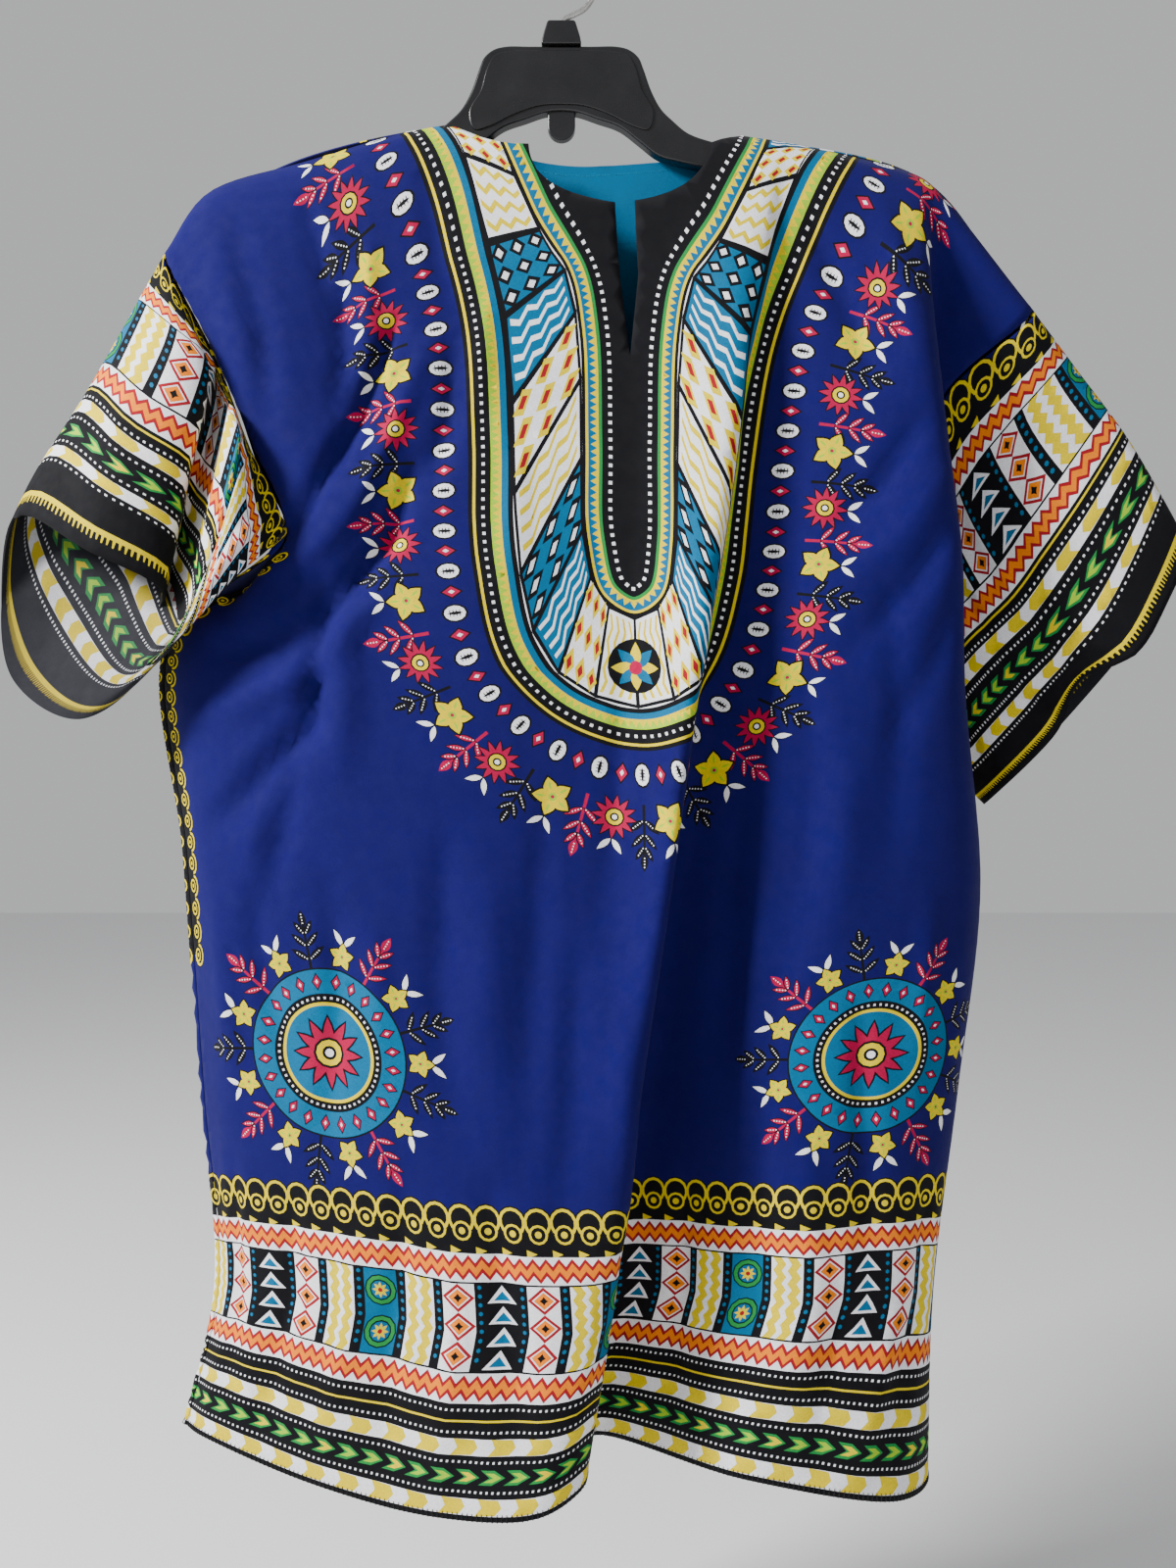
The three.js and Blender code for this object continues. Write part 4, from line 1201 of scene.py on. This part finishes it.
# Each crease: its path in (u, v), half width and depth (negative is a valley).
FRONT_FOLDS = (
    # round the armpit of the wearer's right arm
    (((-140, 110), (-165, 180), (-190, 215), (-225, 262)), 8, -8.0),
    (((-120, 130), (-146, 196), (-176, 250), (-214, 296)), 10, 5.0),
    (((-128, 205), (-146, 262), (-178, 303), (-216, 334), (-270, 352)), 9, -9.0),
    (((-150, 300), (-196, 352), (-250, 386), (-288, 396)), 9, 5.0),
    (((-188, 285), (-193, 356), (-199, 389), (-220, 412), (-251, 448), (-280, 474)), 8, -8.5),
    (((-170, 300), (-176, 372), (-186, 432)), 11, 4.5), (((-230, 251), (-262, 326)), 11, -7.0),
    (((-208, 400), (-217, 454), (-236, 523)), 7, -4.0), (((-232, 440), (-250, 520)), 8, 3.0),
    # shoulder and chest at that side
    (((-177, 70), (-174, 130), (-178, 182)), 7, -4.5), (((-160, 60), (-158, 160)), 8, 3.0),
    (((-106, 130), (-109, 187), (-128, 240)), 9, -5.0), (((-88, 110), (-90, 190)), 8, 2.6),
    (((-205, 31), (-186, 80), (-180, 125)), 7, -3.0), (((-250, 34), (-228, 94), (-220, 168)), 8, -4.0),
    (((-128, 38), (-116, 83), (-104, 139)), 8, -2.6), (((-66, 200), (-72, 300)), 9, 2.2),
    # down the body, the wearer's right half
    (((-118, 440), (-126, 547), (-115, 651)), 12, -4.2), (((-92, 470), (-98, 600)), 12, 3.2),
    (((-58, 415), (-70, 538), (-80, 668)), 10, -3.6), (((-191, 477), (-188, 565), (-205, 662)), 10, -3.8),
    (((-165, 500), (-160, 620)), 12, 3.0), (((-244, 470), (-239, 538), (-216, 616)), 8, -3.4),
    (((-267, 500), (-262, 620)), 9, 3.0), (((-3, 300), (-16, 409), (-30, 532)), 8, -2.4),
    (((-43, 512), (-49, 605), (-64, 702)), 10, -4.0), (((-16, 560), (-20, 700)), 10, 3.4),
    (((-102, 648), (-97, 736), (-66, 838)), 12, -4.6), (((-128, 690), (-120, 838)), 11, 3.6),
    (((-151, 652), (-166, 744), (-152, 838)), 11, -4.4), (((-190, 690), (-196, 838)), 11, 3.4),
    (((-227, 672), (-238, 753), (-235, 838)), 10, -4.2), (((-267, 640), (-278, 722), (-266, 820)), 8, -3.4),
    (((-40, 700), (-30, 838)), 10, -3.0),
    # the wearer's left half
    (((81, 62), (78, 128), (88, 203)), 8, -2.6), (((108, 46), (140, 88), (168, 152)), 9, -3.6),
    (((150, 30), (182, 90), (196, 150)), 10, 3.0), (((196, 150), (171, 212), (143, 246)), 8, -5.0),
    (((214, 180), (188, 240), (150, 290)), 10, 3.6), (((220, 214), (196, 277), (162, 330)), 9, -4.6),
    (((226, 262), (214, 330), (190, 400)), 9, -3.2), (((181, 269), (196, 360), (199, 490)), 10, -3.4),
    (((141, 329), (148, 426), (148, 535)), 11, -3.6), (((168, 380), (172, 520)), 12, 2.8),
    (((105, 382), (103, 512), (104, 634)), 11, -3.6), (((126, 470), (124, 620)), 11, 3.0),
    (((186, 549), (196, 657), (200, 761)), 11, -4.0), (((224, 480), (226, 640)), 9, 3.0),
    (((128, 597), (127, 702), (142, 807)), 12, -4.2), (((160, 640), (168, 800)), 11, 3.2),
    (((81, 660), (79, 753), (104, 836)), 10, -4.0), (((178, 727), (190, 794), (202, 839)), 10, -3.6),
    (((240, 660), (236, 780), (244, 838)), 9, -3.4), (((218, 740), (222, 838)), 9, 2.8),
    (((-22, 250), (-16, 330)), 7, -1.4), (((40, 255), (52, 350)), 7, 1.4),
)
front = garment_piece("Front", "front_panel", front_surface, front_u, panel_outline(front_u), LENGTH,
                      FRONT_FOLDS, body_print, inside_print, front_hole)
BACK_FOLDS = (
    (((-250, 320), (-120, 240)), 10, -5.1), (((-262, 372), (-130, 322)), 9, 4.8),
    (((-275, 420), (-150, 404)), 11, -5.1), (((-200, 80), (-140, 230)), 12, -3.7),
    (((-40, 150), (-120, 400)), 14, 4.1), (((-90, 380), (-104, 640)), 15, -5.1),
    (((-170, 470), (-176, 700)), 13, 4.4), (((-20, 300), (-12, 560)), 14, 3.7),
    (((40, 260), (60, 520)), 13, -4.4), (((110, 420), (96, 700)), 15, 4.4),
    (((170, 480), (160, 760)), 12, -4.4), (((-230, 600), (-226, 820)), 10, -4.1),
    (((-130, 660), (-138, 836)), 13, 4.8), (((-50, 600), (-40, 830)), 14, -5.1),
    (((30, 620), (34, 832)), 13, 4.4), (((196, 330), (110, 250)), 10, -4.4),
    (((205, 380), (120, 330)), 10, 4.1), (((150, 90), (180, 230)), 11, -3.4),
)
back = garment_piece("Back", "back_panel", back_surface, back_u, panel_outline(back_u), LENGTH,
                     BACK_FOLDS, back_print, inside_print, back_hole, flip=True)
SLEEVE_FOLDS = {
    "Sleeve_wearer_right": (
        (((60, 0), (95, 120)), 9, -4.4), (((128, 10), (140, 150)), 8, 4.1),
        (((160, 20), (170, 180)), 7, -4.4), (((215, 5), (205, 110)), 9, 3.7),
        (((262, 20), (250, 150)), 9, -3.7), (((310, 10), (330, 140)), 11, 4.1),
        (((385, 10), (372, 160)), 12, -4.4), (((450, 30), (440, 170)), 11, 3.4),
        (((30, 60), (42, 185)), 10, 3.1),
    ),
    "Sleeve_wearer_left": (
        (((40, 10), (60, 130)), 12, -3.7), (((92, 30), (100, 185)), 9, 3.7),
        (((130, 60), (126, 189)), 7, -4.4), (((165, 20), (172, 150)), 10, 3.4),
        (((205, 60), (200, 189)), 8, -4.4), (((232, 10), (226, 120)), 8, 3.4),
        (((300, 20), (310, 160)), 12, -4.1), (((370, 10), (360, 150)), 12, 4.1),
        (((440, 40), (452, 170)), 12, -3.4),
    ),
}
SLEEVE_OUTLINE = [(0, 0), (SLEEVE_ROUND, 0), (SLEEVE_ROUND, SLEEVE_LENGTH), (0, SLEEVE_LENGTH)]
band_print = sleeve_print()
for name, node, surface in (
    ("Sleeve_wearer_right", "sleeve_wearer_right", right_sleeve),
    ("Sleeve_wearer_left", "sleeve_wearer_left", left_sleeve),
):
    garment_piece(name, node, surface, round_columns(surface), SLEEVE_OUTLINE, SLEEVE_LENGTH,
                                 SLEEVE_FOLDS[name], band_print, band_print,
                                 flip=name == "Sleeve_wearer_left")

# ---- the facing inside the back neck
FACING = {"left": -66, "right": 118, "bottom": -290, "corner": 30}


def facing_outline():
    """The facing's outline laid flat: along the neck, then down, round its corners and up."""
    left, right, bottom, corner = (FACING[key] for key in ("left", "right", "bottom", "corner"))
    top = [(left, -109.5), *(tuple(p) for p in BACK_NECK[1:-1]), (right, -113)]
    lower_right = [(right, (bottom + corner - 113) / 2), (right, bottom + corner), (right - 9, bottom + 9),
                   (right - corner, bottom)]
    lower_left = [(left + corner, bottom), (left + 9, bottom + 9), (left, bottom + corner),
                  (left, (bottom + corner - 110) / 2)]
    points = [*top, *lower_right, *lower_left]
    return np.array([flat_of(back_surface, back_u, x, z - 0.6, DENSE, 10 * DENSE) for x, z in points])


facing_flat = facing_outline()
plain = Print()
plain.add(facing_flat, TURQUOISE)
FACING_CREASE_U = flat_of(back_surface, back_u, 33, -180, DENSE, 10 * DENSE)[0]
FACING_FOLDS = (
    (((FACING_CREASE_U, 24), (FACING_CREASE_U + 1, 178)), 1.8, 0.8),
    (((-30, 60), (-36, 150)), 6, 0.6), (((60, 70), (54, 168)), 7, -0.6),
)
facing = garment_piece("Back_neck_facing", "back_neck_facing", back_surface, back_u, facing_flat, LENGTH,
                       (*BACK_FOLDS, *FACING_FOLDS), plain, plain, flip=True, lift=-FACING_INSET,
                       material=PLAIN_TURQUOISE, inside_material=PLAIN_TURQUOISE)


# ---- stitches
def tube_along(points, radii, sides=6):
    """A tube of rings round a path, closed at both ends, as points and faces."""
    points = np.asarray(points, float)
    tangent = unit(np.gradient(points, axis=0))
    helper = np.array([0.0, 1.0, 0.0]) if abs(tangent[0][1]) < 0.9 else np.array([1.0, 0.0, 0.0])
    first = unit(np.cross(tangent, helper))
    second = np.cross(tangent, first)
    angles = np.linspace(0, 2 * math.pi, sides, endpoint=False)
    rings = [
        p + r * (np.cos(angles)[:, None] * a + np.sin(angles)[:, None] * b)
        for p, r, a, b in zip(points, radii, first, second)
    ]
    faces = [
        (k * sides + j, k * sides + (j + 1) % sides, (k + 1) * sides + (j + 1) % sides, (k + 1) * sides + j)
        for k in range(len(points) - 1)
        for j in range(sides)
    ]
    faces.append(tuple(range(sides))[::-1])
    faces.append(tuple((len(points) - 1) * sides + j for j in range(sides)))
    return np.concatenate(rings), faces


def joined_tubes(name, paths, radius, material, taper=0.6, sides=6):
    """Many short tubes in one object."""
    vertices, faces, start = [], [], 0
    for path in paths:
        radii = np.full(len(path), radius)
        radii[[0, -1]] *= taper
        points, polygons = tube_along(path, radii, sides)
        vertices.append(points)
        faces.extend(tuple(v + start for v in polygon) for polygon in polygons)
        start += len(points)
    return make_object(name, np.concatenate(vertices), faces, [material])


def flat_stations(path, pitch):
    """Evenly spaced points and directions along a flat path."""
    path = np.asarray(path, float)
    lengths = np.concatenate([[0], np.cumsum(np.linalg.norm(np.diff(path, axis=0), axis=1))])
    along = np.arange(pitch / 2, lengths[-1], pitch)
    points = np.stack([np.interp(along, lengths, path[:, axis]) for axis in (0, 1)], 1)
    ahead = np.stack([np.interp(along + 0.5, lengths, path[:, axis]) for axis in (0, 1)], 1)
    return points, unit(ahead - points + 1e-9)


def running_stitches(name, place, path, folds, flip, lift, material, stitch=2.3, pitch=3.3):
    """A row of short stitches that dip into the cloth at both ends."""
    points, ahead = flat_stations(path, pitch)
    steps = np.linspace(-0.5, 0.5, 5)
    rise = np.array([-0.12, 0.16, 0.24, 0.16, -0.12])
    rows = []
    for step, height in zip(steps, rise):
        wobble = np.array([random.uniform(-0.12, 0.12) for _ in points])
        flat = points + ahead * (step * stitch) + np.stack([-ahead[:, 1], ahead[:, 0]], 1) * wobble[:, None]
        rows.append(laid(*place, flat, LENGTH, folds, flip, lift + height))
    return joined_tubes(name, np.stack(rows, 1), 0.26, material, 0.7, 5)


def overlock(name, place, path, folds, flip, length, material, pitch=3.0, deep=4.0):
    """Loops of thread that wrap a cut edge."""
    points, ahead = flat_stations(path, pitch)
    inward = np.stack([ahead[:, 1], -ahead[:, 0]], 1)
    if inward[:, 1].mean() > 0:
        inward = -inward
    loops = []
    for k in range(len(points)):
        lean = random.uniform(-0.3, 0.3)
        shape = ((-1.1 + lean, deep, 0.22), (-0.6, deep * 0.5, 0.3), (-0.2, 0.2, 0.24), (0.1, -0.45, -0.45),
                 (0.5, 0.3, -1.1), (0.9, deep * 0.5, -1.15), (1.2 + lean, deep, -1.05))
        path_flat = np.array([points[k] + ahead[k] * s + inward[k] * d for s, d, _ in shape])
        path_flat[:, 1] = np.minimum(path_flat[:, 1], length - 0.05)
        laid_points = laid(*place, path_flat, length, folds, flip, 0.0)
        normal = face_normals(place[0]) * (-1 if flip else 1)
        side = unit(carried(normal, place[1], path_flat, length))
        down = unit(laid_points[0] - laid_points[2])
        for j, (_, d, h) in enumerate(shape):
            laid_points[j] += side[j] * h + down * min(d, 0)
        loops.append(laid_points)
    return joined_tubes(name, loops, 0.24, material, 0.8, 5)


def hem_path(u_of):
    return np.stack([np.linspace(u_of[-1, 0] + 1, u_of[-1, -1] - 1, HEM_STITCH_SPOTS),
                     np.full(HEM_STITCH_SPOTS, LENGTH - 0.1)], 1)


front_place, back_place = (front_surface, front_u), (back_surface, back_u)
overlock("Hem_overlock_front", front_place, hem_path(front_u), FRONT_FOLDS, False, LENGTH, THREAD_BLACK)
overlock("Hem_overlock_back", back_place, hem_path(back_u), BACK_FOLDS, True, LENGTH, THREAD_BLACK)
facing_top = facing_flat[:16] + (0, 5.0)
running_stitches("Facing_topstitch", back_place, facing_top, (*BACK_FOLDS, *FACING_FOLDS), True,
                 -FACING_INSET - CLOTH, THREAD_TURQUOISE)
cross_x = (FACING["left"], 26, FACING["right"])
line_ends = [flat_of(back_surface, back_u, x, -177, DENSE, 10 * DENSE) for x in cross_x]
running_stitches("Facing_cross_stitch", back_place, line_ends, (*BACK_FOLDS, *FACING_FOLDS), True,
                 -FACING_INSET - CLOTH, THREAD_TURQUOISE)


# ---- the hanger
ARM_TOP = ((56, -88), (62, -99), (69, -106), (79, -114), (100, -121), (156, -138), (200, -150), (209, -153),
           (213, -158))
ARM_UNDER = ((213, -162), (208, -166), (200, -165), (156, -154), (100, -138), (74, -132), (60, -128),
             (48, -119), (36, -110), (22, -105), (10, -101), (0, -100))
BLOCK = ((0, -60), (20, -60), (34, -60), (42, -62), (48, -67), (51, -74))
HANGER_DEPTH = 11.0


def mirrored_outline(half):
    half = np.asarray(half, float)
    return np.concatenate([half, half[-2:0:-1] * (-1, 1)])


def smooth_outline(points, steps=6):
    points = np.asarray(points, float)
    return centripetal(points, np.arange(len(points) * steps) / (len(points) * steps), closed=True)


def extruded(name, outline, front_y, back_y, bevel, material, segments=4):
    """An outline in x and z with depth along y and rounded edges."""
    outline = np.asarray(outline, float)
    count = len(outline)
    points = [(x, y, z) for y in (front_y, back_y) for x, z in outline]
    faces = [tuple(range(count)), tuple(range(2 * count - 1, count - 1, -1))]
    faces += [(k, k + count, (k + 1) % count + count, (k + 1) % count) for k in range(count)]
    made = make_object(name, points, faces, [material])
    rounded = made.modifiers.new("Edges", "BEVEL")
    rounded.width = bevel * MM
    rounded.segments = segments
    rounded.limit_method = "ANGLE"
    rounded.angle_limit = math.radians(50)
    rounded.harden_normals = True
    return made


body = extruded("Hanger_body", smooth_outline(mirrored_outline([*BLOCK, *ARM_TOP, *ARM_UNDER]), 5),
                -HANGER_DEPTH / 2 + 0.6, HANGER_DEPTH / 2 - 0.6, 1.8, PLASTIC)
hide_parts("hanger_body")
PANEL = ((0, -63.5), (30, -63.5), (41, -66), (46, -74), (50, -88), (57, -101), (54, -112), (44, -110),
         (30, -103), (14, -97.5), (0, -96.5))
for name, side in (("Hanger_front_panel", -1), ("Hanger_back_panel", 1)):
    depths = sorted((side * (HANGER_DEPTH / 2 - 1.2), side * (HANGER_DEPTH / 2 + 0.5)))
    raised = extruded(name, smooth_outline(mirrored_outline(PANEL), 5), *depths, 0.9, PLASTIC, 3)
tab_outline = [(-8.5, -97), (-8.5, -109), *((8.5 * math.cos(a), -109 + 8.5 * math.sin(a))
               for a in np.linspace(math.pi, 2 * math.pi, 14)[1:-1]), (8.5, -109), (8.5, -97)]
extruded("Hanger_tab", tab_outline, -HANGER_DEPTH / 2 + 2.4, HANGER_DEPTH / 2 - 2.4, 1.0, PLASTIC)
sizer = extruded("Hanger_sizer_tab", [(-12.5, -59.6), (12.5, -59.6), (11.6, -55), (8.9, -46.2), (8.0, -45),
                                      (-8.0, -45), (-8.9, -46.2), (-11.6, -55)], -7.0, 7.0, 1.1, PLASTIC)
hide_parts("hanger_sizer_tab")

HOOK_WIRE, HOOK_RADIUS = 3.6, 21.0
bow = [(0, 0, -46), (0, 0, -43)]
for a in np.linspace(-0.28 * math.pi, 1.02 * math.pi, 18):
    bow.append((HOOK_RADIUS * math.cos(a), 0, HOOK_WIRE / 2 - HOOK_RADIUS + HOOK_RADIUS * math.sin(a)))
bow = centripetal(bow, np.linspace(0, 1, 150))
radii = np.full(len(bow), HOOK_WIRE / 2)
radii[-4:] *= np.array([0.97, 0.88, 0.7, 0.35])
hook_points, hook_faces = tube_along(bow, radii, 20)
hook = make_object("Hanger_hook", hook_points, hook_faces, [STEEL])
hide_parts("hanger_hook")
collar_points, collar_faces = tube_along([(0, 0, -45.2), (0, 0, -43.4), (0, 0, -42.6)], [3.2, 3.0, 2.0], 20)
make_object("Hanger_collar", collar_points, collar_faces, [PLASTIC])

# ---------------------------------------------------------------- stage
def area_light(name, place, target, size, watts, colour=(1, 1, 1)):
    data = bpy.data.lights.new(name, "AREA")
    data.shape = "SQUARE"
    data.size = size
    data.energy = watts
    data.color = colour
    made = bpy.data.objects.new(name, data)
    bpy.context.scene.collection.objects.link(made)
    made.location = place
    made.rotation_euler = (Vector(target) - Vector(place)).to_track_quat("-Z", "Y").to_euler()
    return made


CENTRE = (0.0165, 0.0, -0.5)
area_light("Key", (-1.7, -0.85, 0.75), CENTRE, 0.5, 130)
area_light("Fill", (1.5, -2.0, -0.1), CENTRE, 1.8, 5)
world = bpy.data.worlds.new("Pale room")
bpy.context.scene.world = world
world.use_nodes = True
world.node_tree.nodes["Background"].inputs["Color"].default_value = (0.93, 0.94, 0.95, 1)
world.node_tree.nodes["Background"].inputs["Strength"].default_value = 0.55

floor_mesh = bpy.data.meshes.new("Floor")
floor_mesh.from_pydata([(-6, -6, -1.15), (6, -6, -1.15), (6, 6, -1.15), (-6, 6, -1.15)], [], [(0, 1, 2, 3)])
floor = bpy.data.objects.new("Floor", floor_mesh)
bpy.context.scene.collection.objects.link(floor)
floor_paint = Nodes("Pale floor")
floor_paint.bsdf.inputs["Base Color"].default_value = (0.8, 0.8, 0.81, 1)
floor_paint.bsdf.inputs["Roughness"].default_value = 0.8
floor_mesh.materials.append(floor_paint.material)

camera_data = bpy.data.cameras.new("Camera")
camera = bpy.data.objects.new("Camera", camera_data)
bpy.context.scene.collection.objects.link(camera)
camera_data.lens = 32.1
camera_data.sensor_width = 36
camera.location = (0.0165, -0.87, -0.517)
camera.rotation_euler = (math.pi / 2, 0, 0)
bpy.context.scene.camera = camera
